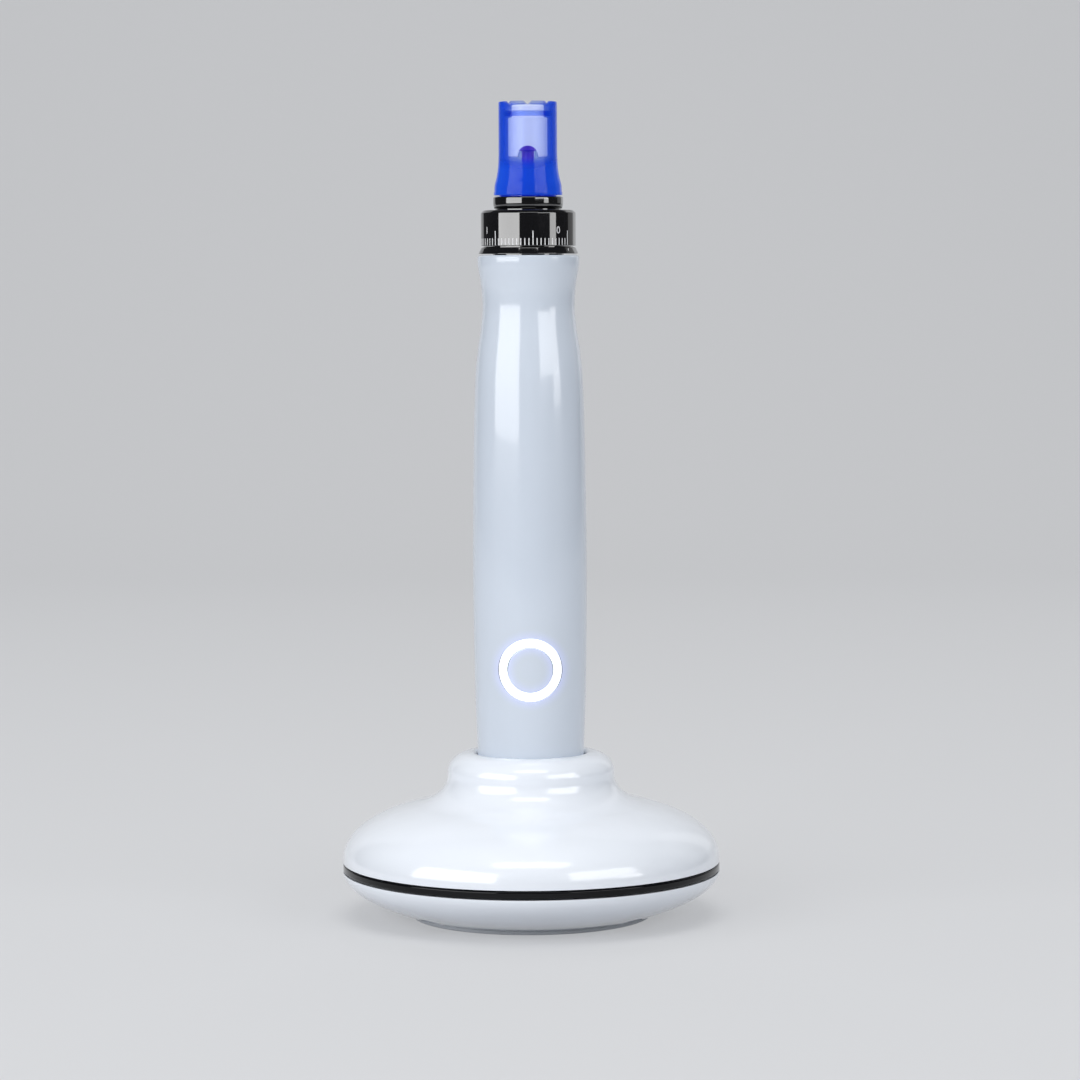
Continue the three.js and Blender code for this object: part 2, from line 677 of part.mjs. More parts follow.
function powerButton() {
  const cap = common(handleCore(), facingFront(disc(
    button.radius, stemEnd + button.stemLength, handle.radius + overrun, smallFacets,
  ), buttonHeight));
  const stem = facingFront(disc(
    button.stemRadius, stemEnd, stemEnd + button.stemLength + faceOverlap, tinyFacets,
  ), buttonHeight);
  return combined(cap, { joins: [stem] });
}

function lightPipe() {
  return common(handleCore(), facingFront(ring(
    button.radius + buttonGap, lightRing.outerRadius, mainBoard.front + lightRing.backInset,
    handle.radius + overrun, smallFacets,
  ), buttonHeight));
}

function ledChip(angle) {
  const circle = (button.radius + buttonGap + lightRing.outerRadius) / 2;
  const half = led.width / 2;
  const x = circle * Math.cos(angle);
  const z = buttonHeight + circle * Math.sin(angle);
  return block([x - half, -switchBack - led.thickness, z - half], [x + half, -switchBack, z + half]);
}

const collarBore = neck.sleeveRadius + gap;

function indexPlate() {
  const body = revolve([
    [collarBore, indexRingBase], [indexRing.bottomRadius, indexRingBase],
    [indexRing.topRadius, indexRingTop], [collarBore, indexRingTop],
  ], middleFacets);
  const pocket = disc(
    detentBall.radius + gap, indexRingTop - detentBall.pocket, indexRingTop + overrun, tinyFacets,
  ).translate(detentBall.circle, 0, 0);
  return combined(body, { cuts: [pocket] });
}

/** Click ball, midway between its pocket's floor and the depth ring's underside. */
function ball() {
  return new THREE.SphereGeometry(detentBall.radius, tinyFacets, tinyFacets - 2)
    .rotateX(Math.PI / 2)
    .translate(detentBall.circle, 0, indexRingTop - detentBall.radius + detentBall.proud);
}

/** Cartridge socket: a sleeve down into the handle, a flange that keeps the depth ring, and a collar. */
function neckSleeve() {
  const bottom = handleTop - neck.sleeveBelowHandleTop;
  const flangeBottomLevel = depthRingTop - depthRing.counterbore + gap;
  const flangeTopLevel = flangeBottomLevel + neck.flangeThickness;
  const bulge = quarter([neck.waistRadius, neckBase], [neck.radius, neckBase + neck.edge], 2, true);
  const body = revolve([
    [neck.bore, bottom], [neck.sleeveRadius, bottom], [neck.sleeveRadius, flangeBottomLevel],
    [neck.flangeRadius, flangeBottomLevel], [neck.flangeRadius, flangeTopLevel],
    [neck.waistRadius, flangeTopLevel], ...bulge, [neck.radius, neckTop - neck.edge / 2],
    [neck.radius - neck.edge / 2, neckTop], [neck.bore, neckTop],
  ], middleFacets);
  const half = follower.radius + gap;
  const slot = block(
    [-half, neck.bore - overrun, pinHeight - half],
    [half, neck.sleeveRadius + overrun, pinHeight + travel.depth + half],
  );
  return combined(body, { cuts: [slot] });
}

function sleeveNut() {
  const top = handleTop - gap;
  return ring(collarBore, neckNut.outerRadius, top - neckNut.height, top, smallFacets);
}

// Depth ring with its helical groove

/** Helix about Z that climbs as the angle falls, from the follower at +Y. */
class GrooveHelix extends THREE.Curve {
  constructor(radius, height, rise, turn, lead) {
    super();
    Object.assign(this, { radius, height, rise, turn, lead });
  }

  getPoint(t, target = new THREE.Vector3()) {
    const share = t * (1 + 2 * this.lead) - this.lead;
    const angle = Math.PI / 2 - this.turn * share;
    return target.set(
      this.radius * Math.cos(angle), this.radius * Math.sin(angle), this.height + this.rise * share,
    );
  }
}

function depthDial() {
  const counterRadius = neck.flangeRadius + gap;
  const counterBottom = depthRingTop - depthRing.counterbore;
  const body = revolve([
    [collarBore, depthRingBase], [depthRing.radius, depthRingBase],
    [depthRing.radius, depthRingTop - depthRing.chamfer],
    [depthRing.radius - depthRing.chamfer, depthRingTop], [counterRadius, depthRingTop],
    [counterRadius, counterBottom], [collarBore, counterBottom],
  ], wideFacets);
  const turn = THREE.MathUtils.degToRad(depthRing.turn);
  const endShare = follower.radius * 2 / (collarBore * turn);
  const path = new GrooveHelix(collarBore, pinHeight, travel.depth, turn, endShare);
  const section = new THREE.Shape().absarc(0, 0, follower.radius + follower.play, 0, 2 * Math.PI);
  const groove = new THREE.ExtrudeGeometry(section, {
    steps: 16, curveSegments: 3, bevelEnabled: false, extrudePath: path,
  });
  return combined(body, { cuts: [groove] });
}

// Sliding motor carrier and drive

function motorCarrier() {
  const bore = motor.radius + gap;
  const crownHeightLevel = barrelTop - carrier.crown;
  const body = revolve([
    [bore, barrelBottom], [carrier.barrelRadius, barrelBottom], [carrier.barrelRadius, barrelTop],
    [carrier.sleeveRadius, shoulderHeight], [carrier.sleeveRadius, sleeveTop],
    [carrier.sleeveBore, sleeveTop], [carrier.sleeveBore, bushSeat - gap], [carrier.throat, bushSeat - gap],
    [carrier.throat, crownHeightLevel], [bore, crownHeightLevel],
  ], smallFacets);
  const pinHole = followerShape(follower.radius + gap, carrier.throat, carrier.sleeveRadius + overrun);
  return combined(body, { cuts: [pinHole] });
}

/** Round bar along +Y at the follower's height. */
function followerShape(radius, from, to) {
  return disc(radius, from, to, tinyFacets).rotateX(-Math.PI / 2).translate(0, 0, pinHeight);
}

function followerPin() {
  const tipEnd = collarBore + follower.radius;
  const tip = quarter([follower.radius, collarBore], [0, tipEnd], 3, false);
  return revolve([
    [0, follower.sleeveEnd], [follower.radius, follower.sleeveEnd], ...tip,
  ], tinyFacets).rotateX(-Math.PI / 2).translate(0, 0, pinHeight);
}

function motorCan() {
  const bottom = motorTop - motor.length;
  const body = revolve([
    [0, bottom], [motor.radius, bottom], [motor.radius, motorTop], [motor.bossRadius, motorTop],
    [motor.bossRadius, motorTop + motor.boss], [0, motorTop + motor.boss],
  ], smallFacets);
  const bore = disc(cam.shaftRadius + gap, camBase - cam.shaftBelow - gap, camBase + overrun, tinyFacets);
  return combined(body, { cuts: [bore] });
}

function motorEndCap() {
  const top = motorTop - motor.length - gap;
  const plate = disc(motor.radius, top - motor.endCap, top, smallFacets);
  const terminals = [-1, 1].map((side) => block(
    [side * motor.bossRadius - motor.tab / 2, -motor.tab, top - 2 * motor.endCap],
    [side * motor.bossRadius + motor.tab / 2, motor.tab, top - motor.endCap + faceOverlap],
  ));
  return combined(plate, { joins: terminals });
}

function motorShaft() {
  return disc(cam.shaftRadius, camBase - cam.shaftBelow, camTop - cam.height / 2 + gap, tinyFacets);
}

/** Swash cam: a drum with a slanted top face, its high side under the rod's foot. */
function driveCam() {
  const drum = disc(cam.radius, camBase, camTop + cam.radius, smallFacets);
  const reach = 2 * cam.radius;
  const angle = Math.atan(cam.slope);
  const cutter = block([-reach, -reach, 0], [reach, reach, 2 * reach])
    .rotateY(-angle)
    .translate(0, 0, camTop - cam.radius * cam.slope);
  const boreTop = camTop - cam.height / 2 + 2 * gap;
  const bore = disc(cam.shaftRadius + gap, camBase - overrun, boreTop, tinyFacets);
  return combined(drum, { cuts: [cutter, bore] });
}

/** Round bar's section with a flat on its front that stops it turning. */
function flatSection(radius, flat) {
  const angle = Math.acos((radius - flat) / radius);
  const shape = new THREE.Shape();
  shape.absarc(0, 0, radius, -Math.PI / 2 + angle, 1.5 * Math.PI - angle);
  shape.closePath();
  return shape;
}

function driveRod() {
  const shank = prism(flatSection(rod.radius, rod.flat), flangeTop - faceOverlap, rodTop, tinyFacets / 2);
  const flange = disc(rod.flangeRadius, flangeBottom, flangeTop, smallFacets);
  const footPad = disc(rod.footRadius, footBottom, flangeBottom + faceOverlap, tinyFacets)
    .translate(rod.footCircle, 0, 0);
  return combined(flange, { joins: [shank, footPad] });
}

function rodBush(bottom) {
  const shape = new THREE.Shape().absarc(0, 0, carrier.sleeveBore - gap, 0, 2 * Math.PI);
  shape.holes.push(flatSection(rod.radius + gap, rod.flat));
  return prism(shape, bottom, bottom + bush.height, tinyFacets);
}

/** Helix of a compression spring. */
class SpringHelix extends THREE.Curve {
  constructor(radius, bottom, top, turns) {
    super();
    Object.assign(this, { radius, bottom, top, turns });
  }

  getPoint(t, target = new THREE.Vector3()) {
    const angle = 2 * Math.PI * this.turns * t;
    const height = THREE.MathUtils.lerp(this.bottom, this.top, t);
    return target.set(this.radius * Math.cos(angle), this.radius * Math.sin(angle), height);
  }
}

function rodSpring() {
  const coil = (rod.radius + carrier.throat) / 2;
  const clear = gap + spring.wire;
  const path = new SpringHelix(coil, flangeTop + clear, bushSeat - clear, spring.turns);
  const section = new THREE.Shape().absarc(0, 0, spring.wire, 0, 2 * Math.PI);
  return new THREE.ExtrudeGeometry(section, {
    steps: spring.turns * tinyFacets, curveSegments: 2.5, bevelEnabled: false, extrudePath: path,
  });
}

// Needle cartridge

const noseOutlineShares = [[0.062, 0.95], [0.17, 0.48], [0.28, 0.17], [0.43, 0.02]];
const notchCount = 8;
const notchShare = 0.2;

/** Depth of the scalloped rim under its crests at an angle, as a share of the notch depth. */
function notchAt(angle) {
  const phase = (angle * notchCount) / (2 * Math.PI);
  const fromCentre = Math.abs(phase - Math.round(phase));
  return Math.max(0, 1 - fromCentre / notchShare);
}

/** Clear flared nose with an inner shoulder and eight notches round its rim. */
function cartridgeNose() {
  const shoulderTop = noseTop - nose.shoulderBelowRim;
  const shoulderBottom = shoulderTop - nose.shoulderThickness;
  const spread = nose.baseRadius - nose.rimRadius;
  const side = noseOutlineShares
    .map(([at, out]) => [nose.rimRadius + spread * out, noseBase + at * nose.length]);
  const inner = nose.rimRadius - nose.wall;
  const outline = [
    [nose.baseRadius - nose.wall, noseBase], [nose.baseRadius + nose.lipProud, noseBase],
    [nose.baseRadius, noseBase + nose.lipHeight],
    ...side, [nose.rimRadius, noseTop], [inner, noseTop], [inner, shoulderTop],
    [guide.neckRadius + gap, shoulderTop], [guide.neckRadius + gap, shoulderBottom],
    [inner, shoulderBottom], [side[2][0] - nose.wall, side[2][1]], [side[1][0] - nose.wall, side[1][1]],
  ];
  const shell = revolve(outline, notchCount * notchFacets);
  const place = shell.attributes.position;
  for (let i = 0; i < place.count; i += 1) {
    if (place.getZ(i) < noseTop - gap / 2) continue;
    const angle = Math.atan2(place.getX(i), -place.getY(i));
    place.setZ(i, noseTop - nose.notchDepth * notchAt(angle));
  }
  return shell;
}

/** Plug under the nose: a spigot for the pen's socket, a closing disc and a short tower round the stem. */
function cartridgeHub() {
  const spigotRadius = neck.bore - gap;
  const stemBore = plunger.stemRadius + gap;
  const discRadius = (nose.baseRadius + nose.rimRadius) / 2 - nose.wall - gap;
  const discBottom = noseBase + gap;
  const discTop = discBottom + hub.discHeight;
  const grooveRadius = spigotRadius - hub.sealGroove;
  const grooveMiddle = (spigotBottom + discBottom) / 2;
  return revolve([
    [spigotRadius - hub.spigotWall, spigotBottom], [spigotRadius, spigotBottom],
    [spigotRadius, grooveMiddle - hub.sealGroove], [grooveRadius, grooveMiddle - hub.sealGroove],
    [grooveRadius, grooveMiddle + hub.sealGroove], [spigotRadius, grooveMiddle + hub.sealGroove],
    [spigotRadius, discBottom], [discRadius, discBottom], [discRadius, discTop],
    [hub.towerRadius, discTop], [hub.towerRadius, discTop + hub.towerHeight],
    [stemBore, discTop + hub.towerHeight], [stemBore, discBottom],
    [spigotRadius - hub.spigotWall, discBottom - hub.spigotWall],
  ], smallFacets);
}

function cartridgeSeal() {
  const spigotRadius = neck.bore - gap;
  const middle = (spigotBottom + noseBase + gap) / 2;
  const section = (hub.sealGroove - seal.squeeze) / 2;
  const centre = spigotRadius - section + seal.proud;
  return new THREE.TorusGeometry(centre, section, 5, smallFacets).translate(0, 0, middle);
}

/** White sleeve behind the clear nose that steers the needles, with an arch at its foot. */
function needleGuide() {
  const shoulder = noseTop - nose.shoulderBelowRim - nose.shoulderThickness - gap;
  const top = noseTop - guide.topBelowRim;
  const bottom = shoulder - guide.bodyLength;
  const body = revolve([
    [guide.bore, bottom], [guide.bodyRadius, bottom], [guide.bodyRadius, shoulder],
    [guide.neckRadius, shoulder], [guide.neckRadius, top], [guide.bore, top],
  ], smallFacets);
  const arch = disc(guide.archRadius, -guide.bodyRadius - overrun, guide.bodyRadius + overrun, tinyFacets)
    .rotateX(Math.PI / 2).translate(0, 0, bottom);
  return combined(body, { cuts: [arch] });
}

function needlePlunger() {
  return revolve([
    [0, stemBottom], [plunger.stemRadius, stemBottom], [plunger.stemRadius, headBottom],
    [plunger.headRadius, headBottom], [plunger.headRadius, headTop], [0, headTop],
  ], smallFacets);
}

/** Needle plate with nine needles on one ring and three inside it. */
function needlePlate() {
  const plateTop = plateBase + needles.plateThickness;
  const tip = plateTop + needles.length;
  const needleAt = (circle, angle) => revolve([
    [0, plateTop - faceOverlap], [needles.radius, plateTop - faceOverlap],
    [needles.radius, tip - needles.point], [0, tip],
  ], needleFacets).translate(circle * Math.cos(angle), circle * Math.sin(angle), 0);
  const ringOf = (count, circle) => Array.from(
    { length: count }, (_, i) => needleAt(circle, (2 * Math.PI * i) / count),
  );
  return combined(disc(plunger.headRadius, plateBase, plateTop, tinyFacets), {
    joins: [...ringOf(outerNeedles, needles.circle), ...ringOf(innerNeedles, needles.innerCircle)],
  });
}

// Assembly: the dock

addPiece('dock_top_shell', topShell(), white, 0.25, 0);
addPiece('trim_ring', trimRing(), black, 0.12, 0);
addPiece('dock_bottom_shell', bottomShell(), white, 0.25, 0);
addPiece('foot_ring', footRing(), rubber, 0.85, 0);
addPiece('ballast_ring', ballastRing(), steel, 0.5, 0.9);
addPiece('dock_board', dockBoard(), circuitGreen, 0.5, 0);
addPiece('power_inlet', powerInlet(), steel, 0.3, 1);
addPiece('contact_block', chargeBlock(), black, 0.5, 0);
addPiece('charge_lead', chargeLead(), black, 0.6, 0);
postPlaces().forEach((place, i) => addPiece(`dock_screw_${i + 1}`, dockScrew(place), steel, 0.35, 1));
addPiece('charge_pin_left', chargePin(-1), gold, 0.25, 1);
addPiece('charge_pin_right', chargePin(1), gold, 0.25, 1);

// Assembly: the pen's fixed parts

addPiece('handle_shell', handleShell(), white, 0.2, 0);
addPiece('tail_cap', tailPlug(), white, 0.25, 0);
addPiece('charge_contact_left', chargeContact(-1), gold, 0.3, 1);
addPiece('charge_contact_right', chargeContact(1), gold, 0.3, 1);
addPiece('chassis', chassisFrame(), rubber, 0.6, 0);
addPiece('battery_cell', batteryCell(), noseBlue, 0.45, 0);
addPiece('main_board', penBoard(), circuitGreen, 0.5, 0);
addPiece('tact_switch', switchHousing(), black, 0.5, 0);
addPiece('light_ring', lightPipe(), glow, 0.4, 0, { emissive: glow, emissiveIntensity: 1 });
[1, 3, 5, 7].forEach((eighth, i) => {
  addPiece(`led_${i + 1}`, ledChip((Math.PI / 4) * eighth), glow, 0.4, 0);
});
addPiece('index_ring', indexPlate(), black, 0.15, 0);
addPiece('detent_ball', ball(), steel, 0.2, 1);
addPiece('neck', neckSleeve(), black, 0.12, 0);
addPiece('neck_nut', sleeveNut(), steel, 0.4, 1);

// Assembly: button, depth ring and drive

addPiece('power_button', powerButton(), white, 0.25, 0);
addPiece('switch_plunger', switchPlunger(), rubber, 0.5, 0);
addPiece('depth_ring', depthDial(), black, 0.12, 0);
addPiece('motor_carrier', motorCarrier(), rubber, 0.5, 0);
addPiece('follower_pin', followerPin(), steel, 0.3, 1);
addPiece('motor_can', motorCan(), steel, 0.3, 1);
addPiece('motor_end_cap', motorEndCap(), black, 0.6, 0);
addPiece('rod_bush_lower', rodBush(bushSeat), gold, 0.4, 0.9);
addPiece('rod_bush_upper', rodBush(sleeveTop - bush.upperBelowTop - bush.height), gold, 0.4, 0.9);
addPiece('motor_shaft', motorShaft(), steel, 0.2, 1);
addPiece('drive_cam', driveCam(), white, 0.4, 0);
addPiece('drive_rod', driveRod(), steel, 0.3, 1);
addPiece('rod_spring', rodSpring(), steel, 0.3, 1);

// Assembly: the cartridge

addPiece('cartridge_nose', cartridgeNose(), noseBlue, 0.08, 0, { transparent: true, opacity: 0.45 });
addPiece('cartridge_hub', cartridgeHub(), noseBlue, 0.3, 0);
addPiece('cartridge_seal', cartridgeSeal(), rubber, 0.7, 0);
addPiece('needle_guide', needleGuide(), white, 0.35, 0);
addPiece('needle_plunger', needlePlunger(), noseBlue, 0.3, 0);
addPiece('needle_plate', needlePlate(), steel, 0.3, 0.9);

export default model;
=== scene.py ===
"""Looks of a microneedling pen that stands in its round charging dock.

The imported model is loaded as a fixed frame. Each sub-assembly is a class that takes its levels from the
frame, builds the surfaces that show with bmesh operators and dresses them, and dresses the frame's own
pieces that stay inside. Lengths are metres, with +Z up along the pen and the front towards -Y.
"""

import logging
import math
from dataclasses import dataclass, field
from enum import Enum
from functools import cached_property
from typing import Any, ClassVar, Iterable, Mapping, Optional, Sequence, Union

import bmesh
import bpy
from mathutils import Matrix, Vector


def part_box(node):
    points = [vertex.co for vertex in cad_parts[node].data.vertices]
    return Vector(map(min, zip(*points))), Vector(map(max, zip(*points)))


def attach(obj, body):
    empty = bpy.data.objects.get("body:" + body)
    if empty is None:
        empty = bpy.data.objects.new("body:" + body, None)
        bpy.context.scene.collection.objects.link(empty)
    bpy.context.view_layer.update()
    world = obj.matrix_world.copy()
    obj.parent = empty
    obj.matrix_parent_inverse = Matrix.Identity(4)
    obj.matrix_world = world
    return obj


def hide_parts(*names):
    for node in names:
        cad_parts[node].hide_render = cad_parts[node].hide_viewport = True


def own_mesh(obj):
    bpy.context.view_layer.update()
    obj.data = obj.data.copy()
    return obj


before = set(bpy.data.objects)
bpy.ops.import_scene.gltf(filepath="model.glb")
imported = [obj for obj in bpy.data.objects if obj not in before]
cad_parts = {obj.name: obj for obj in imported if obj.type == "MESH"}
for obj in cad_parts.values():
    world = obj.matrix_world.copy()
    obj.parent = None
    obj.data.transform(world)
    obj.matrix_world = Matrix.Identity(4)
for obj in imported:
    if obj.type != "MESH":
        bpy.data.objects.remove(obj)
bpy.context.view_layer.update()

log = logging.getLogger("pen")

MM = 0.001
FULL_TURN = 2 * math.pi
QUARTER_TURN = math.pi / 2
GAP = 0.3 * MM            # running gap that the frame keeps between neighbours
OVERRUN = 1.0 * MM        # how far a cutter passes the faces that it cuts
MERGE = 0.001 * MM        # points closer than this are one

# How far back an edge is rounded, from the sharpest to the softest
HAIR = 0.1 * MM
CRISP = 0.15 * MM
FINE = 0.2 * MM
SOFT = 0.3 * MM
ROUND = 0.5 * MM
BLUNT = 0.6 * MM

Point = tuple[float, float]
Colour = tuple[float, float, float]
Mesh = bmesh.types.BMesh


class Body(Enum):
    """Moving bodies of the frame that the pieces ride on."""

    DOCK = "dock"
    LEFT_PIN = "left_pin"
    RIGHT_PIN = "right_pin"
    PEN = "pen"
    BUTTON = "button"
    DIAL = "dial"
    CARRIAGE = "carriage"
    CARTRIDGE = "cartridge"
    PLUNGER = "plunger"


class Slot(Enum):
    """Material slots of the record."""

    WHITE_DOCK = "white_dock"
    WHITE_HANDLE = "white_handle"
    BLACK_GLOSS = "black_gloss"
    BLACK_PLASTIC = "black_plastic"
    FOOT_RUBBER = "foot_rubber"
    STEEL = "steel"
    GOLD = "gold_contact"
    BRONZE = "bronze"
    CIRCUIT = "circuit"
    CELL_WRAP = "cell_wrap"
    CLEAR_BLUE = "clear_blue"
    VIOLET = "violet_plastic"
    GUIDE_WHITE = "guide_white"
    LIGHT_PIPE = "light_pipe"


class Facets(Enum):
    """Steps round a turned piece or a round bar, by its size."""

    WIDE = 160
    BODY = 128
    COLLAR = 96
    SMALL = 48
    TINY = 24
    BAR = 16
    WIRE = 12


@dataclass(frozen=True)
class Reach:
    """Room that a node of the frame takes up at rest."""

    low: Vector
    high: Vector

    @classmethod
    def of(cls, node: str) -> "Reach":
        """Room of the node with that name."""
        return cls(*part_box(node))

    @property
    def base(self) -> float:
        """Height of the lower end."""
        return self.low.z

    @property
    def top(self) -> float:
        """Height of the upper end."""
        return self.high.z

    @property
    def radius(self) -> float:
        """Half of the width along X."""
        return (self.high.x - self.low.x) / 2

    @property
    def centre(self) -> Vector:
        """Middle of the room."""
        return (self.low + self.high) / 2

    @property
    def aside(self) -> Matrix:
        """Shift along X from the pen's axis to the middle."""
        return Matrix.Translation((self.centre.x, 0, 0))


# Shader graphs


class Wire:
    """Output of a shader node that takes part in sums, each of which adds a Math node."""

    def __init__(self, sheet: "Sheet", socket: bpy.types.NodeSocket) -> None:
        """Wraps a socket of a sheet."""
        self.sheet = sheet
        self.socket = socket

    def _math(self, operation: str, *values: "Value") -> "Wire":
        """Output of a new Math node with these inputs, in order."""
        return self.sheet.add("ShaderNodeMath", {"operation": operation}, dict(enumerate(values)))

    def __add__(self, other: "Value") -> "Wire":
        """This plus the other."""
        return self._math("ADD", self, other)

    def __sub__(self, other: "Value") -> "Wire":
        """This less the other."""
        return self._math("SUBTRACT", self, other)

    def __rsub__(self, other: float) -> "Wire":
        """The other less this."""
        return self._math("SUBTRACT", other, self)

    def __mul__(self, other: "Value") -> "Wire":
        """This times the other."""
        return self._math("MULTIPLY", self, other)

    def __pow__(self, other: float) -> "Wire":
        """This to the power of the other."""
        return self._math("POWER", self, other)

    def __lt__(self, other: "Value") -> "Wire":
        """One where this is less than the other, and zero elsewhere."""
        return self._math("LESS_THAN", self, other)

    def __gt__(self, other: "Value") -> "Wire":
        """One where this is greater than the other, and zero elsewhere."""
        return self._math("GREATER_THAN", self, other)

    __radd__ = __add__
    __rmul__ = __mul__

    def root(self) -> "Wire":
        """Square root."""
        return self._math("SQRT", self)

    def sine(self) -> "Wire":
        """Sine of an angle."""
        return self._math("SINE", self)

    def ramp(self, low: float, high: float) -> "Wire":
        """Smooth step over this.

        Args:
            low: value up to which it is zero.
            high: value from which on it is one.

        Returns:
            The step.
        """
        settings = {"interpolation_type": "SMOOTHSTEP", "clamp": True}
        inputs = {"Value": self, "From Min": low, "From Max": high}
        return self.sheet.add("ShaderNodeMapRange", settings, inputs)


Value = Union[Wire, float]
Feed = Union[Wire, float, Sequence[float]]


@dataclass(frozen=True)
class Grain:
    """Noise over a piece: waves per metre, octaves, and factors on the three axes."""

    scale: float
    detail: float = 2.0
    stretch: Colour = (1.0, 1.0, 1.0)


class Sheet:
    """Node tree of one material, round a Principled shader."""

    # A Mix node's colour sockets go by number, as a Mix Shader's do, since several share a name
    MIX_SHARE: ClassVar[int] = 0
    MIX_FIRST: ClassVar[int] = 6
    MIX_SECOND: ClassVar[int] = 7
    MIX_RESULT: ClassVar[int] = 2

    def __init__(self, name: str) -> None:
        """Starts a material with a shader and an output.

        Args:
            name: the material's name.
        """
        self.material = bpy.data.materials.new(name)
        self.material.use_nodes = True
        self.tree = self.material.node_tree
        self.tree.nodes.clear()
        self.principled = self.add("ShaderNodeBsdfPrincipled")
        self.output = self.tree.nodes.new("ShaderNodeOutputMaterial")
        self.show(self.principled)

    def add(
        self,
        kind: str,
        settings: Optional[Mapping[str, Any]] = None,
        inputs: Optional[Mapping[Union[str, int], Feed]] = None,
        out: Union[str, int] = 0,
    ) -> Wire:
        """Adds a node.

        Args:
            kind: the node's type.
            settings: its properties, set first.
            inputs: values or links of its sockets, by name or number.
            out: the output to hand back, by name or number.

        Returns:
            That output.
        """
        node = self.tree.nodes.new(kind)
        for key, value in (settings or {}).items():
            setattr(node, key, value)
        for key, value in (inputs or {}).items():
            self.feed(node.inputs[key], value)
        return Wire(self, node.outputs[out])

    def feed(self, socket: bpy.types.NodeSocket, value: Feed) -> None:
        """Links a socket to a wire, or sets it to a constant.

        Args:
            socket: an input of a node.
            value: the wire, or a number, a vector or a colour.
        """
        if isinstance(value, Wire):
            self.tree.links.new(value.socket, socket)
        elif isinstance(value, (int, float)):
            socket.default_value = value
        elif len(value) < len(socket.default_value):
            socket.default_value = (*value, 1.0)
        else:
            socket.default_value = value

    def surface(self, **inputs: Feed) -> None:
        """Feeds the Principled shader.

        Args:
            inputs: values or links of its sockets, named in lower case with underscores.
        """
        for key, value in inputs.items():
            name = key.replace("_", " ").title().replace("Ior", "IOR")
            self.feed(self.principled.socket.node.inputs[name], value)

    def show(self, shader: Wire, output: str = "Surface") -> None:
        """Makes a shader the surface of the material, or its volume."""
        self.feed(self.output.inputs[output], shader)

    def place(self) -> Wire:
        """Position on the piece, in object coordinates."""
        return self.add("ShaderNodeTexCoord", out="Object")

    def axes(self) -> list[Wire]:
        """The three parts of the position on the piece."""
        split = self.add("ShaderNodeSeparateXYZ", inputs={"Vector": self.place()})
        return [Wire(self, output) for output in split.socket.node.outputs]

    def noise(self, grain: Grain) -> Wire:
        """Noise over the piece.

        Args:
            grain: how fine it is.

        Returns:
            The noise, from zero to one.
        """
        spot = self.add("ShaderNodeMapping", inputs={"Vector": self.place(), "Scale": grain.stretch})
        inputs = {"Vector": spot, "Scale": grain.scale, "Detail": grain.detail}
        return self.add("ShaderNodeTexNoise", inputs=inputs)

    def blend(self, share: Feed, first: Feed, second: Feed) -> Wire:
        """Mixes two colours, with a share of the second."""
        inputs = {self.MIX_SHARE: share, self.MIX_FIRST: first, self.MIX_SECOND: second}
        return self.add("ShaderNodeMix", {"data_type": "RGBA"}, inputs, self.MIX_RESULT)

    def mix(self, share: Feed, first: Wire, second: Wire) -> Wire:
        """Mixes two shaders, with a share of the second."""
        return self.add("ShaderNodeMixShader", inputs={0: share, 1: first, 2: second})

    def bump(self, height: Wire, strength: float, depth: float) -> Wire:
        """Normal bent by a pattern of a depth in metres."""
        return self.add("ShaderNodeBump", inputs={"Height": height, "Strength": strength, "Distance": depth})


# Finishes


@dataclass(frozen=True)
class Finish:
    """One way that a surface is finished, with the record's slot that it belongs to."""

    name: str
    slot: Slot
    colour: Colour

    @cached_property
    def material(self) -> bpy.types.Material:
        """Builds the material when it is first asked for.

        Returns:
            The material, the same one each time.
        """
        sheet = Sheet(self.name)
        self.dress(sheet)
        return sheet.material

    def dress(self, sheet: Sheet) -> None:
        """Feeds the shader of a sheet."""
        raise NotImplementedError

    def shade(self, factor: float) -> Colour:
        """The finish's colour times a factor."""
        return tuple(part * factor for part in self.colour)


@dataclass(frozen=True)
class Gloss(Finish):
    """Moulded and polished plastic: clear top layer, faint waviness, fine handling marks."""

    TONE: ClassVar[Grain] = Grain(18.0)
    SMEAR: ClassVar[Grain] = Grain(55.0, 3.0, (1.0, 1.0, 0.35))
    SMEAR_LIMITS: ClassVar[Point] = (0.45, 0.75)
    SMEAR_ROUGHNESS: ClassVar[float] = 0.05
    SMEAR_COAT: ClassVar[float] = -0.1
    WAVES: ClassVar[Grain] = Grain(260.0, 1.0)
    WAVE_STRENGTH: ClassVar[float] = 0.12
    COAT_ROUGHNESS: ClassVar[float] = 0.03

    roughness: float = 0.16
    coat: float = 0.6
    waviness: float = 0.03 * MM
    shift: float = 0.97
    coat_ior: float = 1.5
    specular: float = 0.5

    def dress(self, sheet: Sheet) -> None:
        """Feeds the shader of a sheet.

        Args:
            sheet: the material's node tree.
        """
        tone = sheet.noise(self.TONE)
        smear = sheet.noise(self.SMEAR).ramp(*self.SMEAR_LIMITS)
        waves = sheet.noise(self.WAVES)
        sheet.surface(
            base_color=sheet.blend(tone, self.colour, self.shade(self.shift)),
            roughness=smear * self.SMEAR_ROUGHNESS + self.roughness,
            coat_weight=smear * self.SMEAR_COAT + self.coat,
            coat_roughness=self.COAT_ROUGHNESS,
            coat_ior=self.coat_ior,
            specular_ior_level=self.specular,
            normal=sheet.bump(waves, self.WAVE_STRENGTH, self.waviness),
        )


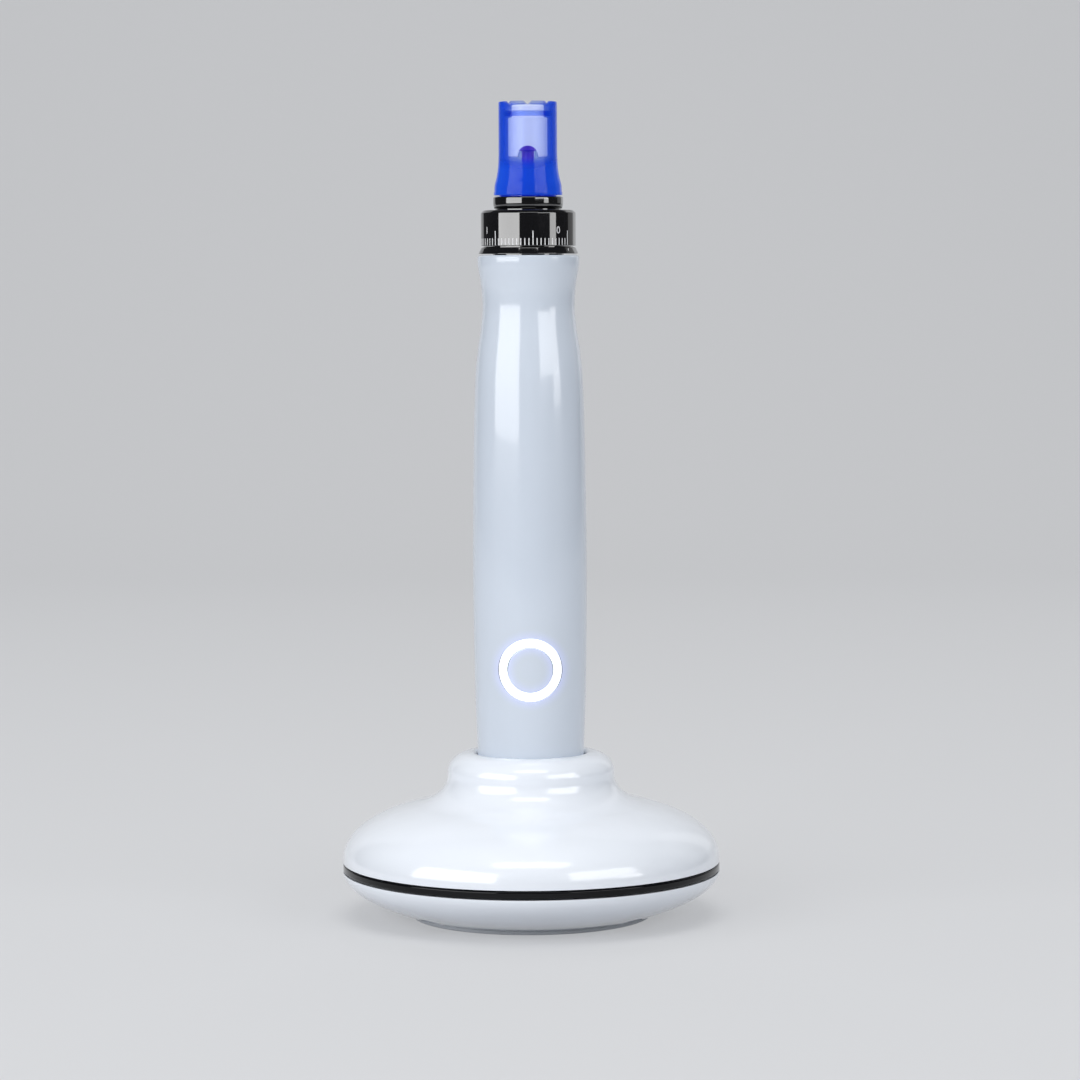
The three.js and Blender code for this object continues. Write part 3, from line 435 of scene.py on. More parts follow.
@dataclass(frozen=True)
class LitGloss(Gloss):
    """Gloss shell with a painted glow round a lit ring on its front: emission on the shell stands in for the
    ring's light spilling into it.
    """

    FALLOFF: ClassVar[float] = 1.6
    UNLIT: ClassVar[Colour] = (0.0, 0.0, 0.0)

    centre: float = 0.0
    inner: float = 0.0
    outer: float = 0.0
    spread: float = 3.2 * MM
    # colour and strength of the painted glow round the ring
    painted_halo: Colour = (0.16, 0.17, 0.95)
    strength: float = 0.2

    def dress(self, sheet: Sheet) -> None:
        """Feeds the shader of a sheet.

        Args:
            sheet: the material's node tree.
        """
        super().dress(sheet)
        across, along, up = sheet.axes()
        rise = up - self.centre
        away = (across * across + rise * rise).root()
        outside = 1.0 - away.ramp(self.outer - GAP, self.outer + self.spread)
        inside = away.ramp(self.inner - self.spread, self.inner + GAP)
        # painted glow: emission that fades out from the ring's edges, on the front half only
        glow = (outside * inside) ** self.FALLOFF * (along < 0.0)
        sheet.surface(
            emission_color=sheet.blend(glow, self.UNLIT, self.painted_halo),
            emission_strength=self.strength,
        )


@dataclass(frozen=True)
class Satin(Finish):
    """Matt moulded plastic or rubber, with a fine grain."""

    TONE: ClassVar[Grain] = Grain(60.0, 3.0)
    DARKEST: ClassVar[float] = 0.85
    LIGHTEST: ClassVar[float] = 1.15
    TONE_ROUGHNESS: ClassVar[float] = 0.1
    GRAIN_STRENGTH: ClassVar[float] = 0.5

    roughness: float = 0.5
    grain: float = 1400.0
    depth: float = 0.02 * MM

    def dress(self, sheet: Sheet) -> None:
        """Feeds the shader of a sheet.

        Args:
            sheet: the material's node tree.
        """
        tone = sheet.noise(self.TONE)
        grain = sheet.noise(Grain(self.grain))
        sheet.surface(
            base_color=sheet.blend(tone, self.shade(self.DARKEST), self.shade(self.LIGHTEST)),
            roughness=tone * self.TONE_ROUGHNESS + (self.roughness - self.TONE_ROUGHNESS / 2),
            normal=sheet.bump(grain, self.GRAIN_STRENGTH, self.depth),
        )


@dataclass(frozen=True)
class Turned(Finish):
    """Metal turned on a lathe, with fine rings along its axis and faint tarnish."""

    CLOUD: ClassVar[Grain] = Grain(90.0, 3.0)
    CLOUD_ROUGHNESS: ClassVar[float] = 0.12
    RING_ROUGHNESS: ClassVar[float] = 0.04
    RING_STRENGTH: ClassVar[float] = 0.15
    RING_DEPTH: ClassVar[float] = 0.004 * MM

    roughness: float = 0.24
    pitch: float = 0.12 * MM
    tarnish: float = 0.85

    def dress(self, sheet: Sheet) -> None:
        """Feeds the shader of a sheet.

        Args:
            sheet: the material's node tree.
        """
        _, _, up = sheet.axes()
        rings = (up * (FULL_TURN / self.pitch)).sine() * 0.5 + 0.5
        cloud = sheet.noise(self.CLOUD)
        smoothest = self.roughness - (self.CLOUD_ROUGHNESS + self.RING_ROUGHNESS) / 2
        sheet.surface(
            base_color=sheet.blend(cloud, self.colour, self.shade(self.tarnish)),
            metallic=1.0,
            roughness=cloud * self.CLOUD_ROUGHNESS + rings * self.RING_ROUGHNESS + smoothest,
            normal=sheet.bump(rings, self.RING_STRENGTH, self.RING_DEPTH),
        )


@dataclass(frozen=True)
class Tinted(Finish):
    """Clear tinted plastic: its depth filters light, and it turns cloudy below a level. Its surface also has
    a painted glow, an emission in its own colour, though it is no lamp.
    """

    STREAKS: ClassVar[Grain] = Grain(140.0, 2.0, (1.0, 1.0, 0.2))
    STREAK_SHADE: ClassVar[float] = 0.85
    STREAK_ROUGHNESS: ClassVar[float] = 0.03
    SMOOTHEST: ClassVar[float] = 0.1
    SPECULAR: ClassVar[float] = 0.15
    FACING_BLEND: ClassVar[float] = 0.5
    HAZE_POWER: ClassVar[float] = 1.2
    SHINE_POWER: ClassVar[float] = 6
    SHINE_AT_EDGE: ClassVar[float] = 0.6
    SHINE_AT_FRONT: ClassVar[float] = 0.008
    SHINE_ROUGHNESS: ClassVar[float] = 0.03

    opacity: float = 0.08
    edge_opacity: float = 0.9
    cloud_top: float = 0.0
    cloud_depth: float = 3.5 * MM
    cloud_opacity: float = 0.45
    deep: Colour = (0.42, 0.62, 0.97)
    filtered: Colour = (0.092, 0.405, 0.966)
    density: float = 450.0
    # strength of the painted glow
    glow: float = 0.3

    def dress(self, sheet: Sheet) -> None:
        """Feeds the shader of a sheet.

        Args:
            sheet: the material's node tree.
        """
        streaks = sheet.noise(self.STREAKS)
        edge = sheet.add("ShaderNodeLayerWeight", inputs={"Blend": self.FACING_BLEND}, out="Facing")
        _, _, up = sheet.axes()
        cloud = 1.0 - up.ramp(self.cloud_top - self.cloud_depth, self.cloud_top)
        sheet.surface(
            base_color=sheet.blend(streaks, self.colour, self.shade(self.STREAK_SHADE)),
            roughness=streaks * self.STREAK_ROUGHNESS + self.SMOOTHEST,
            # painted glow: emission in the plastic's own colour
            emission_color=self.colour,
            emission_strength=self.glow,
            specular_ior_level=self.SPECULAR,
        )
        edge_haze = edge**self.HAZE_POWER * (self.edge_opacity - self.opacity)
        haze = edge_haze + cloud * self.cloud_opacity + self.opacity
        clear = sheet.add("ShaderNodeBsdfTransparent")
        tinted = sheet.add("ShaderNodeBsdfTransparent", inputs={"Color": self.deep})
        body = sheet.mix(haze, sheet.mix(cloud, clear, tinted), sheet.principled)
        shine = sheet.add("ShaderNodeBsdfAnisotropic", inputs={"Roughness": self.SHINE_ROUGHNESS})
        sheet.show(sheet.mix(edge**self.SHINE_POWER * self.SHINE_AT_EDGE + self.SHINE_AT_FRONT, body, shine))
        filtering = {"Color": self.filtered, "Density": self.density}
        sheet.show(sheet.add("ShaderNodeVolumeAbsorption", inputs=filtering), "Volume")


@dataclass(frozen=True)
class Diffuser(Finish):
    """Frosted piece with emission: the lit ring's light pipe, which its LEDs light, and on the needle sleeve
    a painted glow that stands in for light reaching it through the clear nose.
    """

    FROST: ClassVar[Grain] = Grain(900.0)
    FROST_ROUGHNESS: ClassVar[float] = 0.1
    FROST_STRENGTH: ClassVar[float] = 0.2
    FROST_DEPTH: ClassVar[float] = 0.01 * MM
    CLOUD: ClassVar[Grain] = Grain(120.0, 1.0)
    CLOUD_SHADE: ClassVar[float] = 0.96
    SMOOTHEST: ClassVar[float] = 0.3

    strength: float = 0.5

    def dress(self, sheet: Sheet) -> None:
        """Feeds the shader of a sheet.

        Args:
            sheet: the material's node tree.
        """
        frost = sheet.noise(self.FROST)
        cloud = sheet.noise(self.CLOUD)
        sheet.surface(
            base_color=self.colour,
            roughness=frost * self.FROST_ROUGHNESS + self.SMOOTHEST,
            emission_color=sheet.blend(cloud, self.colour, self.shade(self.CLOUD_SHADE)),
            emission_strength=self.strength,
            normal=sheet.bump(frost, self.FROST_STRENGTH, self.FROST_DEPTH),
        )


@dataclass(frozen=True)
class Laminate(Finish):
    """Circuit board with tracks under its solder mask."""

    CELLS_PER_METRE: ClassVar[float] = 420.0
    TRACK_LIMITS: ClassVar[Point] = (0.06, 0.1)
    TRACK_ROUGHNESS: ClassVar[float] = 0.1
    TRACK_STRENGTH: ClassVar[float] = 0.4
    TRACK_DEPTH: ClassVar[float] = 0.03 * MM
    SMOOTHEST: ClassVar[float] = 0.3

    track: Colour = (0.05, 0.24, 0.12)

    def dress(self, sheet: Sheet) -> None:
        """Feeds the shader of a sheet.

        Args:
            sheet: the material's node tree.
        """
        settings = {"feature": "DISTANCE_TO_EDGE", "distance": "CHEBYCHEV"}
        inputs = {"Vector": sheet.place(), "Scale": self.CELLS_PER_METRE}
        tracks = sheet.add("ShaderNodeTexVoronoi", settings, inputs).ramp(*self.TRACK_LIMITS)
        sheet.surface(
            base_color=sheet.blend(tracks, self.track, self.colour),
            roughness=tracks * self.TRACK_ROUGHNESS + self.SMOOTHEST,
            normal=sheet.bump(1.0 - tracks, self.TRACK_STRENGTH, self.TRACK_DEPTH),
        )


# The finishes of this object


class Finishes:
    """The object's finishes."""

    PEN_WHITE: ClassVar[Colour] = (0.635, 0.70, 0.795)
    DOCK_WHITE: ClassVar[Colour] = (0.84, 0.885, 0.955)
    GLOSS_BLACK: ClassVar[Colour] = (0.003, 0.003, 0.004)

    def __init__(self, button_height: float, ring_inner: float, ring_outer: float, cloud_top: float) -> None:
        """Sets the finishes up.

        Args:
            button_height: height of the lit ring's centre.
            ring_inner: inner radius of the lit ring.
            ring_outer: outer radius of the lit ring.
            cloud_top: height under which the clear nose is cloudy.
        """
        lit = {"centre": button_height, "inner": ring_inner, "outer": ring_outer}
        self.dock_white = Gloss("dock_white", Slot.WHITE_DOCK, self.DOCK_WHITE)
        # the handle's and the button's whites carry the painted glow round the lit ring
        self.handle_white = LitGloss("handle_white", Slot.WHITE_HANDLE, self.PEN_WHITE, **lit)
        self.foot_white = Gloss("foot_white", Slot.WHITE_HANDLE, self.PEN_WHITE)
        self.button_white = LitGloss("button_white", Slot.WHITE_HANDLE, self.PEN_WHITE, **lit)
        self.black_gloss = Gloss(
            "black_gloss", Slot.BLACK_GLOSS, self.GLOSS_BLACK,
            roughness=0.06, coat=1.0, waviness=0.02 * MM, shift=1.0, coat_ior=1.85,
        )
        self.band_black = Gloss(
            "band_black", Slot.BLACK_GLOSS, self.GLOSS_BLACK,
            roughness=0.05, coat=0.3, waviness=0.01 * MM, specular=0.1,
        )
        self.black_plastic = Satin(
            "black_plastic", Slot.BLACK_PLASTIC, (0.022, 0.022, 0.024), roughness=0.45
        )
        self.rubber = Satin(
            "foot_rubber", Slot.FOOT_RUBBER, (0.018, 0.018, 0.019),
            roughness=0.8, grain=900.0, depth=0.06 * MM,
        )
        self.pale_rubber = Satin(
            "pale_rubber", Slot.FOOT_RUBBER, (0.60, 0.63, 0.68),
            roughness=0.6, grain=900.0, depth=0.03 * MM,
        )
        self.steel = Turned("turned_steel", Slot.STEEL, (0.60, 0.61, 0.63))
        self.gold = Turned(
            "gold_plate", Slot.GOLD, (0.86, 0.62, 0.22), roughness=0.18, pitch=0.2 * MM, tarnish=0.9
        )
        self.bronze = Turned(
            "sintered_bronze", Slot.BRONZE, (0.58, 0.38, 0.18), roughness=0.42, pitch=0.3 * MM, tarnish=0.75
        )
        self.board = Laminate("solder_mask", Slot.CIRCUIT, (0.02, 0.13, 0.07))
        self.cell_wrap = Gloss(
            "cell_wrap", Slot.CELL_WRAP, (0.05, 0.12, 0.45), roughness=0.3, coat=0.2, waviness=0.06 * MM
        )
        # both clear blues carry the painted glow of Tinted
        self.clear_blue = Tinted("clear_blue", Slot.CLEAR_BLUE, (0.011, 0.075, 0.60), cloud_top=cloud_top)
        self.hub_blue = Tinted(
            "hub_blue", Slot.CLEAR_BLUE, (0.012, 0.05, 0.65), opacity=0.6, edge_opacity=0.9
        )
        self.violet = Gloss("violet_stem", Slot.VIOLET, (0.20, 0.05, 0.72), roughness=0.3, coat=0.2)
        # painted glow: the sleeve is no lamp, and its warm emission stands in for light reaching it through
        # the blue nose
        self.sleeve_painted_glow = Diffuser("sleeve_painted_glow", Slot.GUIDE_WHITE, (0.93, 0.84, 0.72), strength=0.55)
        self.guide_white = Satin(
            "guide_white", Slot.GUIDE_WHITE, (0.82, 0.84, 0.90), roughness=0.4, grain=1200.0, depth=0.01 * MM
        )
        self.lit_ring = Diffuser("lit_ring", Slot.LIGHT_PIPE, (0.93, 0.95, 1.0), strength=0.6)
        self.mark_ink = Satin(
            "mark_ink", Slot.WHITE_HANDLE, (0.75, 0.76, 0.78), roughness=0.5, grain=2000.0, depth=0.004 * MM
        )


# Modelling helpers


class Outline:
    """Half outline of a turned piece, drawn corner by corner.

    Each corner is a radius and a height, and perhaps how far back it is rounded.
    """

    ROUND_STEPS: ClassVar[int] = 5
    ROUND_SHARE: ClassVar[float] = 0.45

    def __init__(self, *corners: Sequence[float]) -> None:
        """Takes the corners in order."""
        self.corners = [(Vector((radius, height)), sum(rounding)) for radius, height, *rounding in corners]

    def points(self) -> list[Vector]:
        """Rounds the corners.

        Returns:
            The outline's points, in order.
        """
        found: list[Vector] = []
        count = len(self.corners)
        for i, (corner, rounding) in enumerate(self.corners):
            before, after = self.corners[i - 1][0], self.corners[(i + 1) % count][0]
            found.extend(self._round(before, corner, after, rounding))
        return found

    @classmethod
    def _round(cls, before: Vector, corner: Vector, after: Vector, rounding: float) -> list[Vector]:
        """Rounds one corner with a curve that starts and ends on its two sides.

        Args:
            before: the corner before it.
            corner: the corner itself.
            after: the corner after it.
            rounding: how far back the curve starts.

        Returns:
            The curve's points, or the corner alone where it isn't rounded.
        """
        if rounding <= 0.0:
            return [corner]
        back, on = before - corner, after - corner
        reach = min(rounding, back.length * cls.ROUND_SHARE, on.length * cls.ROUND_SHARE)
        start, end = corner + back.normalized() * reach, corner + on.normalized() * reach
        steps = [i / cls.ROUND_STEPS for i in range(cls.ROUND_STEPS + 1)]
        return [start * (1 - t) ** 2 + corner * 2 * t * (1 - t) + end * t**2 for t in steps]


def rod(*corners: Sequence[float]) -> Outline:
    """Outline of a solid piece, closed on the axis at its first and its last height."""
    return Outline((0, corners[0][1]), *corners, (0, corners[-1][1]))


def turn(outline: Outline, facets: Facets) -> Mesh:
    """Turns an outline about Z.

    Args:
        outline: closed on itself or on the axis.
        facets: steps of the turn.

    Returns:
        The closed mesh.
    """
    shape = bmesh.new()
    points = [shape.verts.new((point.x, 0.0, point.y)) for point in outline.points()]
    pairs = list(zip(points, points[1:]))
    if points[0].co.x > MERGE or points[-1].co.x > MERGE:
        pairs.append((points[-1], points[0]))
    edges = [shape.edges.new(pair) for pair in pairs]
    bmesh.ops.spin(
        shape, geom=points + edges, cent=(0, 0, 0), axis=(0, 0, 1), dvec=(0, 0, 0),
        angle=FULL_TURN, steps=facets.value, use_merge=True, use_duplicate=False,
    )
    bmesh.ops.remove_doubles(shape, verts=shape.verts, dist=MERGE)
    bmesh.ops.recalc_face_normals(shape, faces=shape.faces)
    return shape


def cylinder(radius: float, low: float, high: float, facets: Facets) -> Mesh:
    """Upright cylinder.

    Args:
        radius: its radius.
        low: height of its lower end.
        high: height of its upper end.
        facets: steps round it.

    Returns:
        The closed mesh.
    """
    shape = bmesh.new()
    bmesh.ops.create_cone(
        shape, cap_ends=True, segments=facets.value, radius1=radius, radius2=radius, depth=high - low,
        matrix=Matrix.Translation((0, 0, (low + high) / 2)),
    )
    return shape


def move(shape: Mesh, matrix: Matrix) -> Mesh:
    """Moves a whole mesh and hands it back."""
    bmesh.ops.transform(shape, matrix=matrix, verts=shape.verts)
    return shape


def join(first: Mesh, *others: Mesh) -> Mesh:
    """Puts several meshes into the first.

    Args:
        first: the mesh that takes the others in.
        others: the meshes that are freed.

    Returns:
        The first mesh.
    """
    for other in others:
        mesh = bpy.data.meshes.new("joined")
        other.to_mesh(mesh)
        other.free()
        first.from_mesh(mesh)
        bpy.data.meshes.remove(mesh)
    return first


def bevel(shape: Mesh, edges: Sequence[bmesh.types.BMEdge], offset: float) -> None:
    """Rounds edges of a mesh.

    Args:
        shape: the mesh.
        edges: which of its edges.
        offset: how far back they are rounded.
    """
    bmesh.ops.bevel(
        shape, geom=edges, offset=offset, offset_type="OFFSET", segments=2, profile=0.5, affect="EDGES",
        material=-1,
    )


def to_front(height: float) -> Matrix:
    """Turns what is upright about Z to point to the front, at a height."""
    return Matrix.Translation((0, 0, height)) @ Matrix.Rotation(QUARTER_TURN, 4, "X")


def to_rear(height: float, along: float = 0.0) -> Matrix:
    """Turns what is upright about Z to point to the rear, at a height and a place along Y."""
    return Matrix.Translation((0, along, height)) @ Matrix.Rotation(-QUARTER_TURN, 4, "X")


def on_circle(angle: float, radius: float) -> Matrix:
    """Place on a circle about Z, at an angle from +X."""
    return Matrix.Rotation(angle, 4, "Z") @ Matrix.Translation((radius, 0, 0))


def bare_object(name: str, shape: Mesh) -> bpy.types.Object:
    """Makes an object of a mesh and frees the mesh.

    Args:
        name: the object's name.
        shape: its mesh.

    Returns:
        The object, in the scene.
    """
    mesh = bpy.data.meshes.new(name)
    shape.to_mesh(mesh)
    shape.free()
    made = bpy.data.objects.new(name, mesh)
    bpy.context.scene.collection.objects.link(made)
    return made


def settled(thing: bpy.types.Object) -> Mesh:
    """Takes the mesh of an object as its modifiers or its curve leave it.

    Args:
        thing: an object in the scene.

    Returns:
        The mesh.
    """
    mesh = bpy.data.meshes.new_from_object(thing.evaluated_get(bpy.context.evaluated_depsgraph_get()))
    shape = bmesh.new()
    shape.from_mesh(mesh)
    bpy.data.meshes.remove(mesh)
    return shape


def combine(shape: Mesh, other: Mesh, operation: str) -> Mesh:
    """Joins two closed meshes, or takes one from the other.

    Args:
        shape: the mesh that is kept.
        other: the mesh that is added or taken away.
        operation: UNION or DIFFERENCE.

    Returns:
        The mesh that is left.
    """
    body, tool = bare_object("kept", shape), bare_object("tool", other)
    modifier = body.modifiers.new("combine", "BOOLEAN")
    modifier.operation = operation
    modifier.solver = "EXACT"
    modifier.object = tool
    left = settled(body)
    for thing in (body, tool):
        mesh = thing.data
        bpy.data.objects.remove(thing)
        bpy.data.meshes.remove(mesh)
    return left


def cut(shape: Mesh, *cutters: Mesh) -> Mesh:
    """Cuts closed meshes out of another, one after the other.

    Args:
        shape: the mesh that is cut.
        cutters: what is taken away.

    Returns:
        The mesh that is left.
    """
    for cutter in cutters:
        shape = combine(shape, cutter, "DIFFERENCE")
    return shape


@dataclass
class Assembly:
    """Sub-assembly that dresses its nodes and reports its pieces."""

    CREASE: ClassVar[float] = 40.0

    finishes: Finishes
    made: list[str] = field(default_factory=list, init=False)

    def piece(
        self, name: str, shape: Mesh, body: Body, finish: Finish, *stands_for: str, sharp: float = CREASE
    ) -> bpy.types.Object:
        """Finishes one piece and puts it on its body.

        Args:
            name: the piece's name.
            shape: its mesh, in place.
            body: the body that it rides on.
            finish: its finish.
            stands_for: nodes of the frame that it replaces.
            sharp: edges with more than this angle in degrees stay crisp.

        Returns:
            The piece.
        """
        for face in shape.faces:
            face.smooth = True
        made = bare_object(name, shape)
        made.data.set_sharp_from_angle(angle=math.radians(sharp))
        made.data.materials.append(finish.material)
        normals = made.modifiers.new("even_normals", "WEIGHTED_NORMAL")
        normals.keep_sharp = True
        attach(made, body.value)
        if stands_for:
            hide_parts(*stands_for)
        self.made.append(name)
        return made

    def dress_nodes(self, finish: Finish, *nodes: str) -> None:
        """Gives nodes of the frame the material of a finish.

        Args:
            finish: the finish.
            nodes: names of the nodes.
        """
        for node in nodes:
            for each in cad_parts[node].material_slots:
                each.material = finish.material

    def report(self) -> None:
        """Logs the pieces that were made."""
        log.info("%s: %s", type(self).__name__, ", ".join(self.made))


# Shared forms


class Curve:
    """Smooth line through given points that is level at each crest and waist."""

    def __init__(self, points: Sequence[Point]) -> None:
        """Fits the line.

        Args:
            points: places and their values, in rising order of place.
        """
        self.places = [place for place, _ in points]
        self.values = [value for _, value in points]
        spans = zip(points, points[1:])
        rises = [(after[1] - before[1]) / (after[0] - before[0]) for before, after in spans]
        inner = [self._slope(before, after) for before, after in zip(rises, rises[1:])]
        self.slopes = [rises[0], *inner, rises[-1]]

    @staticmethod
    def _slope(before: float, after: float) -> float:
        """Slope at a point between two spans, level where they part."""
        return 0.0 if before * after <= 0.0 else 2 * before * after / (before + after)

    def __call__(self, place: float) -> float:
        """Value at a place.

        Args:
            place: the place. Beyond an end it counts as that end.

        Returns:
            The value there.
        """
        place = min(max(place, self.places[0]), self.places[-1])
        i = next(i for i in range(1, len(self.places)) if place <= self.places[i])
        span = self.places[i] - self.places[i - 1]
        t = (place - self.places[i - 1]) / span
        low, high = self.values[i - 1], self.values[i]
        start, end = self.slopes[i - 1] * span, self.slopes[i] * span
        return (
            (2 * t**3 - 3 * t**2 + 1) * low + (t**3 - 2 * t**2 + t) * start
            + (3 * t**2 - 2 * t**3) * high + (t**3 - t**2) * end
        )


def spread(low: float, high: float, steps: int) -> list[float]:
    """Evenly spread values from the low one to the high one, with so many steps between them."""
    return [low + (high - low) * i / steps for i in range(steps + 1)]


def quarter(start: Point, end: Point, steps: int, starts_flat: bool) -> list[Point]:
    """Elliptic quarter.

    Args:
        start: its first point.
        end: its last point.
        steps: how many parts it has.
        starts_flat: whether it leaves the first point level.

    Returns:
        Its points.
    """
    found = []
    for angle in spread(0.0, QUARTER_TURN, steps):
        along, across = math.sin(angle), 1 - math.cos(angle)
        if not starts_flat:
            along, across = across, along
        found.append((start[0] + (end[0] - start[0]) * along, start[1] + (end[1] - start[1]) * across))
    return found


@dataclass(frozen=True)
class HandleForm:
    """Outer form of the handle: slim at the foot, full at the middle, with a waist under the head."""

    base: float
    top: float
    widest: float
    outline: Curve = Curve((
        (0, 0.869), (0.07, 0.9), (0.185, 0.9365), (0.263, 0.968), (0.34, 0.985), (0.476, 1), (0.6, 0.99),
        (0.7, 0.972), (0.765, 0.954), (0.81, 0.931), (0.845, 0.8925), (0.88, 0.836), (0.915, 0.804),
        (0.94, 0.816), (0.965, 0.851), (0.988, 0.888), (1, 0.8885),
    ))

    def radius_at(self, height: float) -> float:
        """Outer radius at a height."""
        return self.widest * self.outline((height - self.base) / (self.top - self.base))

    def depth_at(self, across: float, height: float) -> float:
        """Distance of the front skin from the pen's middle plane, at a place to the side."""
        return math.sqrt(self.radius_at(height) ** 2 - across**2)

    def side(self, low: float, high: float, steps: int, inset: float = 0.0) -> list[Point]:
        """Points of the side between two heights, from low to high, some way inside the skin."""
        return [(self.radius_at(height) - inset, height) for height in spread(low, high, steps)]

    def press_on(self, shape: Mesh, height: float, back: float) -> Mesh:
        """Lays a turned piece on the front skin, so that its face follows the skin.

        Args:
            shape: a piece about Z, its face at zero and its back below.
            height: height of its axis on the handle.
            back: distance of its back from the pen's middle plane.

        Returns:
            The piece in place.
        """
        deepest = min(vert.co.z for vert in shape.verts)
        for vert in shape.verts:
            across, rise, depth = vert.co
            skin = self.depth_at(across, height + rise)
            vert.co = (across, (back - skin) * (1 - depth / deepest) - back, height + rise)
        bmesh.ops.recalc_face_normals(shape, faces=shape.faces)
        return shape


def helix(radius: float, low: float, high: float, turning: float, shares: Iterable[float]) -> list[Matrix]:
    """Places along a helix that starts on the +Y side, each upright and square to the helix's turn.

    Args:
        radius: the helix's radius.
        low: height where it starts.
        high: height where it ends.
        turning: angle that it turns through.
        shares: how far along each place is, from zero to one.

    Returns:
        The places.
    """
    return [
        Matrix.Rotation(turning * share, 4, "Z")
        @ Matrix.Translation((0, radius, low + (high - low) * share))
        @ Matrix.Rotation(QUARTER_TURN, 4, "Y")
        for share in shares
    ]


def round_bar(places: Iterable[Matrix], radius: float, facets: Facets) -> Mesh:
    """Closed bar with a round section at each of its places.

    Args:
        places: where each section stands.
        radius: the bar's radius.
        facets: corners of a section.

    Returns:
        Its mesh.
    """
    bar = bmesh.new()
    sections = []
    for place in places:
        made = bmesh.ops.create_circle(bar, segments=facets.value, radius=radius, matrix=place)
        sections.append({edge for vert in made["verts"] for edge in vert.link_edges})
    for before, after in zip(sections, sections[1:]):
        bmesh.ops.bridge_loops(bar, edges=[*before, *after])
    bmesh.ops.holes_fill(bar, edges=[edge for edge in bar.edges if edge.is_boundary])
    bmesh.ops.recalc_face_normals(bar, faces=bar.faces)
    return bar


def slot_bar(width: float, height: float, low: float, high: float) -> Mesh:
    """Upright bar with a round-ended section.

    Args:
        width: its section's length.
        height: its section's height.
        low: where it starts.
        high: where it ends.

    Returns:
        The closed mesh.
    """
    shape = cylinder(height / 2, low, high, Facets.SMALL)
    half_step = math.pi / Facets.SMALL.value
    bmesh.ops.rotate(shape, verts=shape.verts, matrix=Matrix.Rotation(half_step, 3, "Z"))
    shift = (width - height) / 2
    for vert in shape.verts:
        vert.co.x += math.copysign(shift, vert.co.x)
    return shape


def box_between(low: Sequence[float], high: Sequence[float]) -> Mesh:
    """Box between two corners.

    Args:
        low: the corner with the lowest values.
        high: the corner with the highest.

    Returns:
        The closed mesh.
    """
    shape = bmesh.new()
    sides = [b - a for a, b in zip(low, high)]
    middle = [(a + b) / 2 for a, b in zip(low, high)]
    bmesh.ops.create_cube(shape, size=1.0, matrix=Matrix.LocRotScale(middle, None, sides))
    return shape


# The charging dock


